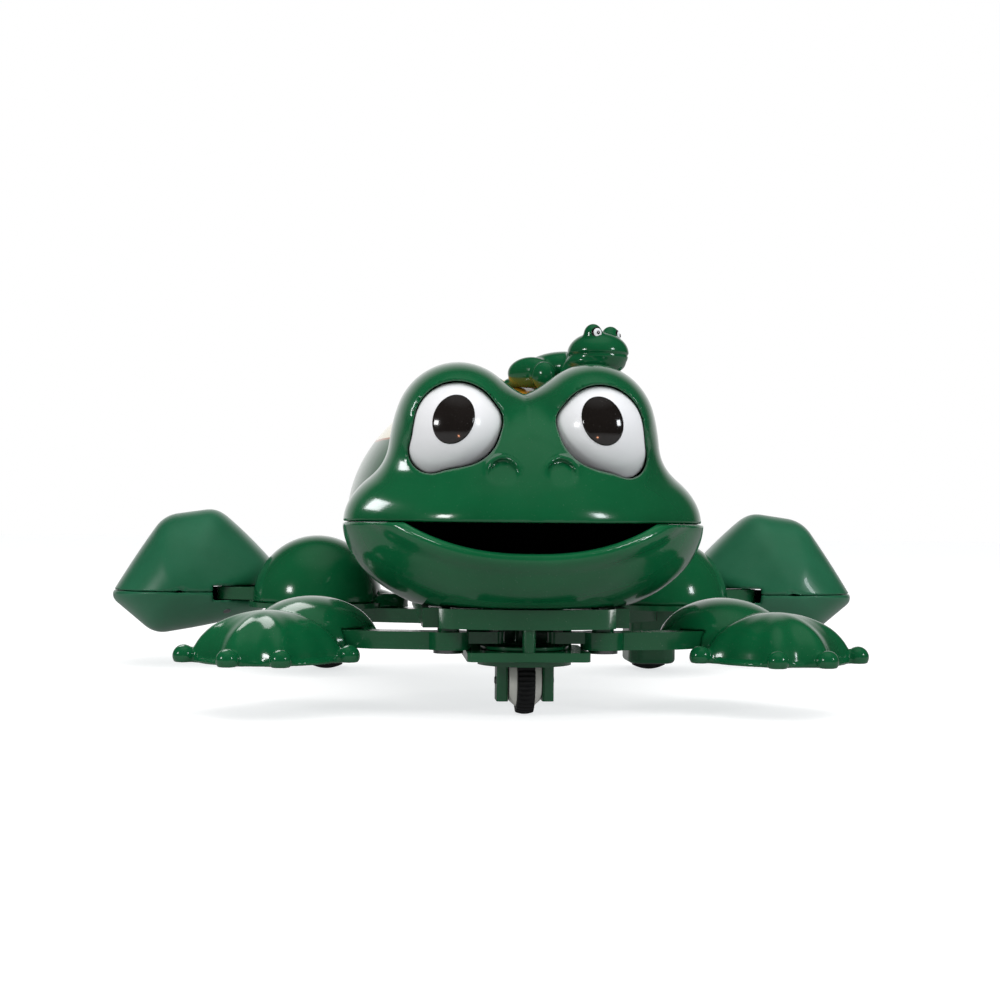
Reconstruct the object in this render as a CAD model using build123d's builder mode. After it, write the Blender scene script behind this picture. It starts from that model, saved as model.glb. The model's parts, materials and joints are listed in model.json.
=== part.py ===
"""Clockwork swimming frog on three wheels: a moulded plastic mother frog with a baby on her back.

Frame: +X is the frog's left, +Y its rear, +Z up, origin on the floor under the middle of the toy.
All lengths are millimetres. A winding knob on the left flank winds a small plate-framed clockwork
motor. Its crank rocks a drive slider in the chassis tray, and four pins on the slider swing both
arms and both hind legs. The toy stands on a swivelling front wheel and a roller under each thigh.
"""

import math
import os

from build123d import *

# ---- Driving dimensions -------------------------------------------------------------------------
WALL = 2.2  # moulded shell thickness
SEAM_Z = 59.5  # joint between the upper and lower shells, and the line of the upper lip
SEAM_GAP = 0.5
FLOOR_Z = 33.3  # flat underside of the jaw and belly shells
FIT = 0.15  # gap between shells that nest

BODY_CENTRE = (0, -2, SEAM_Z)
BODY_UP = (57, 92, 51.5)  # half-axes of the back
BODY_DOWN = (57, 92, 32)  # half-axes of the belly
BODY_FRONT_Y = -72  # the body shells are open in front of this, inside the head
HEAD_CENTRE = (0, -82, SEAM_Z)
MUZZLE = (57, 48, 21.5)
CHEEK_CENTRE = (0, -66, SEAM_Z)
CHEEK = (57, 40, 28)
SNOUT_CENTRE = (0, -84, 66)
SNOUT = (36, 40, 27.5)  # lifts the middle of the face, under and between the eyes
JAW = (57, 48, 32)
BROW_X, BROW_Y, BROW_Z = 21, -84, 88.5
BROW = (20.5, 31, 21.7)
BRIDGE_CENTRE = (0, -80, 84)
BRIDGE = (26, 24, 17.3)
MOUTH_HALF_WIDTH, MOUTH_DEPTH = 37, 9.5

EYE_X, EYE_Y, EYE_Z = 21.5, -93, 89.5
EYE_BALL, EYE_RADIUS = 20, 14.5
EYE_BACK_Y = -103.2  # back of the white inserts
PUPIL_X, PUPIL_Z = 22.8, 91.5
PUPIL_HALF = (6.6, 7.4)

PAN_BOTTOM = 27.2  # underside of the chassis tray
PAN_FLOOR = 2.0
PAN_HALF_WIDTH = 32
PAN_REAR_Y = 52
PAD_Y, PAD_SIZE, PAD_DEPTH = -20, (36, 60), 1.5  # flat pad under the tray, for a stand
SCREW_END = 28.7

WHEEL_Y = -90  # front wheel axle and swivel axis
FRONT_R = 10.5
FRONT_HUB_HALF = 5.0
TYRE_HALF = 2.7
AXLE_R = 1.2
PLATE_Z = (17.5, 20.3)
PLATE_SIZE = (37.6, 37)
TURNTABLE_R = 14.6
NECK_R = 12.4  # the fork's round neck turns in the steering plate
POST_AT = 16.2  # steering plate posts, in front of and behind the swivel axis
RUN = 0.05  # radial running clearance

LIMB_Z = (20.5, 26)  # arm and leg bars
TONGUE_Z = 22.4  # underside of the thinner inner ends
PIVOT_X = 24  # arm and hip pivots, either side
ARM_Y, HIP_Y = -95, 42
PIN_X, PIN_R = 10, 1.5  # slider pins
STROKE = 2.5  # slider travel either way
BOSS_R = 3.4
SCREW_R = 1.3

HAND = (79.5, -91)
HAND_HALF = (21.5, 22, 15.8)
HAND_BASE = 17
FOREARM = (66.5, -72)
FOREARM_HALF = (19.8, 22, 15.8)
TOE_R, TOE_RING = 3.4, 25.5
TOE_ANGLES = (-169, -102, -66, -11)
ARM_REACH = [(46, -91), (66, -78)]  # the arm bar's path outboard of its pivot
ARM_WIDTH = 9

THIGH = (69, 57)
THIGH_HALF = (25.5, 27, 26)
THIGH_BASE = 28
HIP_LOBE = (43, 57)  # rounded inner end of the thigh, over the hip bar
LOBE_R, LOBE_HEIGHT = 9.5, 5.5
ROLLER_X, ROLLER_Y, ROLLER_R, ROLLER_HALF = 66, 75, 10, 6.5
KNEE = (106, 74)
KNEE_TAB_Z = (28, 33)
KNEE_TURN = 22  # the tab's heading from straight out
FOOT_SEAM_Z = 31
KNEE_PIN = 20  # length

MODULE = 0.8
WIND_YZ = (-22, 92)  # winding arbor
FIRST_YZ = (-14, 77.23)
CRANK_YZ = (0, 64.09)
GOVERNOR_YZ = (-14, 50.95)
ARBOR_R = 1.5
FRAME_HALF = 14  # inner face of each motor plate
FRAME_PLATE = 1.2
KNOB_R, KNOB_X = 13, (42, 51)

BABY_AT = (16, -50, 105.2)
BABY_TURN = 45  # the baby looks out over the mother's left brow


# ---- Helpers ------------------------------------------------------------------------------------
def ellipsoid(centre, half):
    """A free ellipsoid, for adding to or cutting from a part."""
    ball = Sphere(1, mode=Mode.PRIVATE)
    return Location(centre) * scale(ball, by=tuple(half), mode=Mode.PRIVATE)


def grown(half, by):
    return tuple(v + by for v in half)


def at_side(point, side):
    """The point on the frog's left (side 1) or its mirror image (side -1)."""
    return (side * point[0], *point[1:])


def save(part, name):
    part.label = name
    export_step(part, f"parts/{name}.step")


def save_pair(build, name):
    """Writes a left-hand piece and its mirror image."""
    save(build.part, f"left_{name}")
    with BuildPart() as other:
        mirror(build.part, about=Plane.YZ)
    save(other.part, f"right_{name}")


def involute(angle):
    return math.tan(angle) - angle


def gear_outline(teeth, phase):
    """Stub involute teeth as closed points in a plane, with one tooth centred at phase radians."""
    pitch_r = MODULE * teeth / 2
    base_r = pitch_r * math.cos(math.radians(20))
    tip_r = pitch_r + 0.7 * MODULE
    root_r = pitch_r - 0.95 * MODULE
    half_tooth = (math.pi / 2 - 0.15 / MODULE) / teeth + involute(math.radians(20))
    steps = 4
    low_r = max(base_r, root_r)
    radii = [low_r + (tip_r - low_r) * k / steps for k in range(steps + 1)]
    flank = [(r, half_tooth - involute(math.acos(min(1, base_r / r)))) for r in radii]
    if root_r < low_r:
        flank.insert(0, (root_r, flank[0][1]))
    points = []
    for tooth in range(teeth):
        centre = phase + 2 * math.pi * tooth / teeth
        points += [(r, centre - a) for r, a in flank] + [(r, centre + a) for r, a in reversed(flank)]
    return [(r * math.cos(a), r * math.sin(a)) for r, a in points]


def mesh_phase(phase, teeth, at, mate_teeth, mate_at):
    """The phase that puts a mate's tooth gap on this gear's teeth, both turning about +X."""
    line = math.atan2(mate_at[1] - at[1], mate_at[0] - at[0])
    return line + math.pi - (teeth * (phase - line) + math.pi) / mate_teeth


def across(x, yz):
    """A plane facing +X at x, with its centre at yz, for pieces on the motor's cross arbors."""
    return Plane(origin=(x, *yz), x_dir=(0, 1, 0), z_dir=(1, 0, 0))


def gear_blank(at, x, width, teeth, phase, bore):
    """A toothed wheel or pinion between x and x + width."""
    with BuildPart(mode=Mode.PRIVATE) as blank:
        with BuildSketch(across(x, at)):
            with BuildLine():
                Polyline(*gear_outline(teeth, phase), close=True)
            make_face()
            Circle(bore, mode=Mode.SUBTRACT)
        extrude(amount=width)
    return blank.part


# ---- Head and body shells -----------------------------------------------------------------------
BROWS = [((side * BROW_X, BROW_Y, BROW_Z), BROW) for side in (1, -1)]
FACE = [(HEAD_CENTRE, MUZZLE), (CHEEK_CENTRE, CHEEK), (BRIDGE_CENTRE, BRIDGE), (SNOUT_CENTRE, SNOUT)]
SHELL_SCREWS = [(24, -79), (-24, -79), (20, 25), (-20, 25)]
SCREW_TOP = 42
POST_HEIGHT = 10
STAND = (Align.CENTER, Align.CENTER, Align.MIN)  # stands on its location


def facing_front(x, y, z):
    """A plane facing the front of the toy, with x to the frog's left and y up."""
    return Plane(origin=(x, y, z), x_dir=(1, 0, 0), z_dir=(0, -1, 0))


def eye_lens(side, grow):
    """The front of an eyeball, cut out by a circle."""
    with BuildPart(mode=Mode.PRIVATE) as lens:
        with BuildSketch(facing_front(side * EYE_X, EYE_BACK_Y, EYE_Z)):
            Circle(EYE_RADIUS + grow)
        extrude(amount=EYE_BALL)
        with Locations((side * EYE_X, EYE_Y, EYE_Z)):
            Sphere(EYE_BALL + grow, mode=Mode.INTERSECT)
    return lens.part


def make_head():
    lenses = [eye_lens(side, 0.2) for side in (1, -1)]
    with BuildPart() as head_shell:
        for centre, half in BROWS:
            add(ellipsoid(centre, half))
        for side in (1, -1):
            with BuildSketch(facing_front(side * EYE_X, EYE_BACK_Y, EYE_Z)):
                Circle(EYE_RADIUS + 0.2)
            extrude(amount=EYE_BALL, mode=Mode.SUBTRACT)
        for centre, half in FACE:
            add(ellipsoid(centre, half))
        for lens in lenses:
            add(lens, mode=Mode.SUBTRACT)
        for centre, half in BROWS + FACE:
            add(ellipsoid(centre, grown(half, -WALL)), mode=Mode.SUBTRACT)
        add(ellipsoid(BODY_CENTRE, grown(BODY_UP, FIT)), mode=Mode.SUBTRACT)
        split(bisect_by=Plane.XY.offset(SEAM_Z), keep=Keep.TOP)
    save(head_shell.part, "head_shell")


def bowl(centre, half, wall):
    """The lower half of a hollow ellipsoid with a flat floor, up to just under the seam."""
    with BuildPart(mode=Mode.PRIVATE) as cavity:
        add(ellipsoid(centre, grown(half, -wall)))
        split(bisect_by=Plane.XY.offset(FLOOR_Z + wall), keep=Keep.TOP)
    with BuildPart(mode=Mode.PRIVATE) as hollow:
        add(ellipsoid(centre, half))
        split(bisect_by=Plane.XY.offset(FLOOR_Z), keep=Keep.TOP)
        split(bisect_by=Plane.XY.offset(SEAM_Z - SEAM_GAP), keep=Keep.BOTTOM)
        add(cavity.part, mode=Mode.SUBTRACT)
    return hollow.part


def make_jaw():
    hollow = bowl(HEAD_CENTRE, JAW, WALL)
    with BuildPart() as jaw_shell:
        add(hollow)
        add(ellipsoid(BODY_CENTRE, grown(BODY_DOWN, FIT)), mode=Mode.SUBTRACT)
        with BuildSketch(facing_front(0, HEAD_CENTRE[1], SEAM_Z)):
            Ellipse(MOUTH_HALF_WIDTH, MOUTH_DEPTH)
        extrude(amount=JAW[1], mode=Mode.SUBTRACT)
        with Locations(*[(x, y, FLOOR_Z) for x, y in SHELL_SCREWS[:2]]):
            Cylinder(3.2, POST_HEIGHT, align=STAND)
            Cylinder(SCREW_R, POST_HEIGHT, align=STAND, mode=Mode.SUBTRACT)
    save(jaw_shell.part, "jaw_shell")


def make_mouth_liner():
    """The dark inside of the mouth: a scoop behind the lower lip, with a flat palate over it."""
    centre = (0, HEAD_CENTRE[1] - 22, SEAM_Z - 0.6)
    half = (41, 26, 15)
    with BuildPart() as mouth_liner:
        add(ellipsoid(centre, half))
        add(ellipsoid(centre, grown(half, -1.5)), mode=Mode.SUBTRACT)
        split(bisect_by=Plane.XY.offset(centre[2]), keep=Keep.BOTTOM)
        with BuildSketch(Plane.XY.offset(centre[2])):
            with Locations(centre[:2]):
                Ellipse(half[0], half[1])
        extrude(amount=1.6)
        add(ellipsoid(HEAD_CENTRE, grown(MUZZLE, -WALL - 0.2)), mode=Mode.INTERSECT)
    save(mouth_liner.part, "mouth_liner")


def make_back():
    cup_x, cup_floor = KNOB_X[0] - 3, 2
    with BuildPart() as cup:
        with BuildSketch(across(cup_x, WIND_YZ)):
            Circle(KNOB_R + 3.5)
        extrude(amount=30)
        add(ellipsoid(BODY_CENTRE, BODY_UP), mode=Mode.INTERSECT)
    with BuildPart() as back_shell:
        add(ellipsoid(BODY_CENTRE, BODY_UP))
        add(ellipsoid(BODY_CENTRE, grown(BODY_UP, -WALL)), mode=Mode.SUBTRACT)
        add(cup.part)
        split(bisect_by=Plane.XY.offset(SEAM_Z), keep=Keep.TOP)
        split(bisect_by=Plane.XZ.offset(-BODY_FRONT_Y), keep=Keep.BOTTOM)
        with BuildSketch(across(cup_x + cup_floor, WIND_YZ)):
            Circle(KNOB_R + 1.5)
        extrude(amount=30, mode=Mode.SUBTRACT)
        with BuildSketch(across(0, WIND_YZ)):
            Circle(ARBOR_R + 0.5)
        extrude(amount=60, mode=Mode.SUBTRACT)
        with Locations((*baby_peg(), 100)):
            Cylinder(PEG_R, 20, mode=Mode.SUBTRACT)
    save(back_shell.part, "back_shell")


def make_belly():
    hollow = bowl(BODY_CENTRE, BODY_DOWN, WALL)
    with BuildPart() as belly_shell:
        add(hollow)
        split(bisect_by=Plane.XZ.offset(-BODY_FRONT_Y), keep=Keep.BOTTOM)
        with Locations((YOKE_X + 1, CRANK_YZ[0], FLOOR_Z)):
            Box(4.4, 19, 8, mode=Mode.SUBTRACT)
        with Locations(*[(x, y, FLOOR_Z) for x, y in SHELL_SCREWS[2:]]):
            Cylinder(3.2, POST_HEIGHT, align=STAND)
            Cylinder(SCREW_R, POST_HEIGHT, align=STAND, mode=Mode.SUBTRACT)
    save(belly_shell.part, "belly_shell")


def pupil_plug():
    """The dark insert, standing a little proud of the white."""
    with BuildPart(mode=Mode.PRIVATE) as plug:
        with BuildSketch(facing_front(PUPIL_X, EYE_Y - 16, PUPIL_Z)):
            Ellipse(*PUPIL_HALF)
        extrude(amount=EYE_BALL)
        with Locations((EYE_X, EYE_Y, EYE_Z)):
            Sphere(EYE_BALL + 0.3, mode=Mode.INTERSECT)
    return plug.part


def make_eyes():
    lens, plug = eye_lens(1, 0), pupil_plug()
    with BuildPart() as eye_white:
        add(lens)
        add(plug, mode=Mode.SUBTRACT)
    save_pair(eye_white, "eye_white")
    with BuildPart() as pupil:
        add(plug)
    save_pair(pupil, "pupil")


# ---- Baby frog ----------------------------------------------------------------------------------
PEG_R = 1.5
PEG_LOCAL_Y = 6
BABY_LOBES = [
    ((0, -14.5, 11), (9.3, 9.6, 6.4)),  # head
    ((0, -13.5, 8.2), (9.6, 9.0, 4.2)),  # jaw
    ((0, 2, 6.2), (7.6, 15, 6)),  # trunk
]
BABY_PAIRS = [
    ((4.6, -16, 16.6), (3.1, 3.1, 3.4)),  # eye bumps
    ((8, 8, 4.4), (4.2, 9, 4.6)),  # thighs
    ((9.4, 0.5, 3), (3.4, 4.2, 4.4)),  # knees
    ((6.6, -8, 3.4), (2.6, 4.5, 4.2)),  # arms
    ((5.5, 16, 1.8), (3, 5, 1.8)),  # hind feet
]
BABY_EYE_R = 1.5


def baby_place():
    return Location(BABY_AT) * Rotation(0, 0, BABY_TURN)


def baby_peg():
    turn = math.radians(BABY_TURN)
    return BABY_AT[0] - PEG_LOCAL_Y * math.sin(turn), BABY_AT[1] + PEG_LOCAL_Y * math.cos(turn)


def baby_eye(side, near, far):
    """A short cylinder on the face of an eye bump, from near to far in front of the bump's centre."""
    bump = at_side(BABY_PAIRS[0][0], side)
    with BuildPart(mode=Mode.PRIVATE) as eye:
        with BuildSketch(facing_front(bump[0], bump[1] - near, bump[2])):
            Circle(BABY_EYE_R)
        extrude(amount=far - near)
    return eye.part


def lying_ellipsoid(centre, half):
    """A free ellipsoid with its poles fore and aft."""
    ball = Rotation(90, 0, 0) * Sphere(1, mode=Mode.PRIVATE)
    return Location(centre) * scale(ball, by=tuple(half), mode=Mode.PRIVATE)


def make_baby():
    pockets = [baby_eye(side, 2.2, 6) for side in (1, -1)]
    whites = [baby_eye(side, 2.2, 3.3) for side in (1, -1)]
    with BuildPart() as local:
        for centre, half in BABY_LOBES:
            add(lying_ellipsoid(centre, half))
        for centre, half in BABY_PAIRS:
            for side in (1, -1):
                add(lying_ellipsoid(at_side(centre, side), half))
        for pocket in pockets:
            add(pocket, mode=Mode.SUBTRACT)
        with Locations((0, PEG_LOCAL_Y, -4)):
            Cylinder(PEG_R, 10)
    placed = baby_place() * local.part
    cradle = lying_ellipsoid(BODY_CENTRE, grown(BODY_UP, 0.1))
    with BuildPart() as baby_frog:
        add(placed)
        add(cradle, mode=Mode.SUBTRACT)
        with Locations((*baby_peg(), BABY_AT[2] - 4)):
            Cylinder(PEG_R, 8)
    save(baby_frog.part, "baby_frog")
    with BuildPart() as baby_eyes:
        for white in whites:
            add(baby_place() * white)
    save(baby_eyes.part, "baby_eyes")


# ---- Chassis tray, slider and fasteners ---------------------------------------------------------
YOKE_X = 19.7
PLATE_POSTS = [(0, WHEEL_Y - POST_AT), (0, WHEEL_Y + POST_AT)]
RIB_Y = -69.5  # stiffening rib under the tray, behind the steering plate
PIVOTS = [(s * PIVOT_X, y) for y in (ARM_Y, HIP_Y) for s in (1, -1)]
PINS = [(s * PIN_X, y) for y in (ARM_Y, HIP_Y) for s in (1, -1)]


def pan_outline(inset):
    """The tray's plan: a bowed front between two small facets, stepped back to straight sides."""
    half, rear = PAN_HALF_WIDTH - inset, PAN_REAR_Y - inset
    corner = (24.5 - inset / 2, -104 + inset)
    facet = (27.2 - inset, -101.3 + inset / 2)
    step = [(27.2 - inset, -97 + inset), (half, -97 + inset)]
    mirrored = [(-x, y) for x, y in (corner, facet, *step, (half, rear))]
    with BuildSketch() as outline:
        with BuildLine():
            Polyline((half, rear), *reversed(step), facet, corner)
            ThreePointArc(corner, (0, -109 + inset), mirrored[0])
            Polyline(*mirrored, (half, rear))
        make_face()
    return outline.sketch


def make_pan():
    plan, inside = pan_outline(0), pan_outline(2)
    with BuildPart() as chassis_pan:
        with BuildSketch(Plane.XY.offset(PAN_BOTTOM)):
            add(plan)
        extrude(amount=FLOOR_Z - PAN_BOTTOM)
        with BuildSketch(Plane.XY.offset(PAN_BOTTOM + PAN_FLOOR)):
            add(inside)
        extrude(amount=FLOOR_Z, mode=Mode.SUBTRACT)
        with BuildSketch(Plane.XY.offset(PAN_BOTTOM)):
            with Locations(*PIVOTS):
                Circle(BOSS_R)
            with Locations(*PLATE_POSTS):
                Circle(2)
        extrude(amount=PLATE_Z[1] - PAN_BOTTOM)
        with BuildSketch(Plane.XY.offset(PAN_BOTTOM)):
            with Locations((0, PAD_Y)):
                RectangleRounded(*PAD_SIZE, 4)
        extrude(amount=-PAD_DEPTH)
        with BuildSketch(Plane.XY.offset(PLATE_Z[0] + 1)):
            with Locations((0, RIB_Y)):
                Rectangle(34, 2.5)
        extrude(amount=PAN_BOTTOM - PLATE_Z[0] - 1)
        with Locations(*[(x, y, 0) for x, y in PIVOTS + PLATE_POSTS]):
            Cylinder(SCREW_R, SCREW_END, align=STAND, mode=Mode.SUBTRACT)
        with Locations(*[(x, y, 0) for x, y in SHELL_SCREWS]):
            Cylinder(SCREW_R, FLOOR_Z, align=STAND, mode=Mode.SUBTRACT)
            Cylinder(2.8, PAN_BOTTOM + 1.2, align=STAND, mode=Mode.SUBTRACT)
        with BuildSketch(Plane.XY.offset(PAN_BOTTOM)):
            with Locations(*PINS):
                SlotOverall(2 * PIN_R + 2 * STROKE + 1.2, 2 * PIN_R + 0.8, rotation=90)
        extrude(amount=PAN_FLOOR, mode=Mode.SUBTRACT)
    save(chassis_pan.part, "chassis_pan")


def make_slider():
    low, thick = PAN_BOTTOM + PAN_FLOOR + 0.3, 2.5
    with BuildPart() as drive_slider:
        with BuildSketch(Plane.XY.offset(low)):
            with Locations((0, (ARM_Y + HIP_Y) / 2)):
                RectangleRounded(12, HIP_Y - ARM_Y + 7, 2)
            with Locations((0, ARM_Y), (0, HIP_Y)):
                RectangleRounded(2 * PIN_X + 6, 7, 2)
            with Locations(((YOKE_X + 2) / 2, CRANK_YZ[0])):
                Rectangle(YOKE_X + 2, 10)
        extrude(amount=thick)
        with Locations(*[(x, y, low) for x, y in PINS]):
            Cylinder(PIN_R, low - TONGUE_Z - 0.2, align=(Align.CENTER, Align.CENTER, Align.MAX))
        with BuildSketch(Plane(origin=(YOKE_X, CRANK_YZ[0], low), x_dir=(0, 1, 0), z_dir=(1, 0, 0))):
            with Locations((0, 22)):
                Rectangle(10, 44)
            with Locations((0, CRANK_YZ[1] - low)):
                SlotOverall(9, 2.8, rotation=90, mode=Mode.SUBTRACT)
        extrude(amount=2)
    save(drive_slider.part, "drive_slider")


def screw_group(places, head_r, head_z, shank_top, name):
    """Identical cross-recessed screws standing head down."""
    with BuildPart() as screws:
        with Locations(*[(x, y, head_z[0]) for x, y in places]):
            Cylinder(head_r, head_z[1] - head_z[0], align=STAND)
        with Locations(*[(x, y, head_z[1]) for x, y in places]):
            Cylinder(SCREW_R, shank_top - head_z[1], align=STAND)
        with Locations(*[(x, y, head_z[0]) for x, y in places]):
            Box(0.6, 2.6, 0.8, mode=Mode.SUBTRACT)
            Box(2.6, 0.6, 0.8, mode=Mode.SUBTRACT)
    save(screws.part, name)


# ---- Front wheel unit ---------------------------------------------------------------------------
def make_steering():
    with BuildPart() as steering_plate:
        with BuildSketch(Plane.XY.offset(PLATE_Z[0])):
            with Locations((0, WHEEL_Y)):
                RectangleRounded(*PLATE_SIZE, 2.5)
                Circle(NECK_R + RUN, mode=Mode.SUBTRACT)
        extrude(amount=PLATE_Z[1] - PLATE_Z[0])
        with Locations(*[(x, y, PLATE_Z[0]) for x, y in PLATE_POSTS]):
            Cylinder(SCREW_R, 20, mode=Mode.SUBTRACT)
            Cylinder(1.8, 2.4, mode=Mode.SUBTRACT)
    save(steering_plate.part, "steering_plate")
    disc_z = (PLATE_Z[0] - 1.9, PLATE_Z[0] - 0.4)
    keeper_z = (PLATE_Z[1] + 0.2, PLATE_Z[1] + 1.2)
    leg_x = (FRONT_HUB_HALF + 0.3, 8.9)
    leg_foot = 4.3
    with BuildPart() as front_fork:
        with BuildSketch(Plane.XY.offset(disc_z[0])):
            with Locations((0, WHEEL_Y)):
                Circle(TURNTABLE_R)
        extrude(amount=disc_z[1] - disc_z[0])
        with BuildSketch(Plane.XY.offset(disc_z[1])):
            with Locations((0, WHEEL_Y)):
                Circle(NECK_R)
        extrude(amount=keeper_z[0] - disc_z[1])
        with BuildSketch(Plane.XY.offset(leg_foot)):
            with Locations((leg_x[1] / 2 + leg_x[0] / 2, WHEEL_Y), (-leg_x[1] / 2 - leg_x[0] / 2, WHEEL_Y)):
                RectangleRounded(leg_x[1] - leg_x[0], 10, 1)
        extrude(amount=disc_z[1] - leg_foot)
        with BuildSketch(Plane.XY):
            with Locations((0, WHEEL_Y)):
                Rectangle(2 * leg_x[0], 15.4)
                Rectangle(2 * TYRE_HALF + 1, 20.6)
        extrude(amount=40, mode=Mode.SUBTRACT)
        with Locations((0, WHEEL_Y, FRONT_R)):
            Cylinder(AXLE_R, 30, rotation=(0, 90, 0), mode=Mode.SUBTRACT)
    save(front_fork.part, "front_fork")
    with BuildPart() as fork_keeper:
        with BuildSketch(Plane.XY.offset(keeper_z[0])):
            with Locations((0, WHEEL_Y)):
                Circle(NECK_R + 1.4)
                Circle(NECK_R - 1.4, mode=Mode.SUBTRACT)
        extrude(amount=keeper_z[1] - keeper_z[0])
    save(fork_keeper.part, "fork_keeper")


def wheel_pin(x, y, z, radius, length):
    with BuildPart(mode=Mode.PRIVATE) as pin:
        with Locations((x, y, z)):
            Cylinder(radius, length, rotation=(0, 90, 0))
        chamfer(pin.edges().filter_by(GeomType.CIRCLE), 0.2)
    return pin


def make_front_wheel():
    save(wheel_pin(0, WHEEL_Y, FRONT_R, AXLE_R, 18.6).part, "front_axle")
    seat_r, flange_r, face_r, bevel = 7.4, 8.2, 6.2, 0.5
    hub = [
        (AXLE_R + RUN, FRONT_HUB_HALF),
        (face_r, FRONT_HUB_HALF),
        (flange_r, TYRE_HALF),
        (seat_r, TYRE_HALF),
    ]
    tyre = [(seat_r, TYRE_HALF), (FRONT_R - bevel, TYRE_HALF), (FRONT_R, TYRE_HALF - bevel)]
    for name, half_section in (("front_hub", hub), ("front_tyre", tyre)):
        right_half = [(x, r) for r, x in half_section]
        left_half = [(-x, r) for r, x in reversed(half_section)]
        with BuildPart() as ring:
            with BuildSketch(facing_front(0, WHEEL_Y, FRONT_R)):
                with BuildLine():
                    Polyline(*right_half, *left_half, close=True)
                make_face()
            revolve(axis=Axis((0, WHEEL_Y, FRONT_R), (1, 0, 0)))
        save(ring.part, name)


# ---- Arms ---------------------------------------------------------------------------------------
def limb_bar(y, reach, width):
    """A bar from the slider pin over its pivot to reach, with a thin slotted tongue inboard."""
    with BuildPart(mode=Mode.PRIVATE) as bar:
        with BuildSketch(Plane.XY.offset(LIMB_Z[0])):
            with BuildLine():
                Polyline((PIVOT_X, y), *reach)
            trace(line_width=width)
            with Locations((PIVOT_X, y)):
                Circle(7)
        extrude(amount=LIMB_Z[1] - LIMB_Z[0])
        with BuildSketch(Plane.XY.offset(TONGUE_Z)):
            with Locations(((PIN_X + PIVOT_X) / 2, y)):
                SlotCenterToCenter(PIVOT_X - PIN_X, 7)
        extrude(amount=LIMB_Z[1] - TONGUE_Z)
        with Locations((PIVOT_X, y, 0)):
            Cylinder(BOSS_R + RUN, 80, mode=Mode.SUBTRACT)
        with BuildSketch(Plane.XY):
            with Locations((PIN_X, y)):
                SlotOverall(2 * PIN_R + 1.1, 2 * PIN_R + 0.25)
        extrude(amount=40, mode=Mode.SUBTRACT)
    return bar.part


def dome(centre, half, base, wall):
    """A hollow half-ellipsoid open underneath, and its filled cavity."""
    middle = (*centre, base)
    with BuildPart(mode=Mode.PRIVATE) as outer:
        add(ellipsoid(middle, half))
        split(bisect_by=Plane.XY.offset(base), keep=Keep.TOP)
    with BuildPart(mode=Mode.PRIVATE) as inner:
        add(ellipsoid(middle, grown(half, -wall)))
        split(bisect_by=Plane.XY.offset(base), keep=Keep.TOP)
    return outer.part, inner.part


def make_arms():
    bar = limb_bar(ARM_Y, ARM_REACH, ARM_WIDTH)
    with BuildPart() as arm_bar:
        add(bar)
    save_pair(arm_bar, "arm_bar")
    hand_out, hand_in = dome(HAND, HAND_HALF, HAND_BASE, 1.8)
    fore_out, fore_in = dome(FOREARM, FOREARM_HALF, LIMB_Z[0], 1.8)
    with BuildPart() as hand_shell:
        add(hand_out)
        add(fore_out)
        with BuildSketch(Plane.XY.offset(HAND_BASE)):
            with Locations(HAND):
                Circle(TOE_RING - 1.5)
        extrude(amount=1.4)
        for angle in TOE_ANGLES:
            turn = math.radians(angle)
            toe = (HAND[0] + TOE_RING * math.cos(turn), HAND[1] + TOE_RING * math.sin(turn))
            with Locations((*toe, HAND_BASE + 2)):
                Sphere(TOE_R)
        split(bisect_by=Plane.XY.offset(HAND_BASE), keep=Keep.TOP)
        add(hand_in, mode=Mode.SUBTRACT)
        add(fore_in, mode=Mode.SUBTRACT)
        with BuildSketch(Plane.XY.offset(LIMB_Z[0] - 0.2)):
            with BuildLine():
                Polyline((PIVOT_X, ARM_Y), *ARM_REACH)
            trace(line_width=ARM_WIDTH + 0.6)
        extrude(amount=LIMB_Z[1] - LIMB_Z[0] + 0.4, mode=Mode.SUBTRACT)
    save_pair(hand_shell, "hand_shell")


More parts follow.
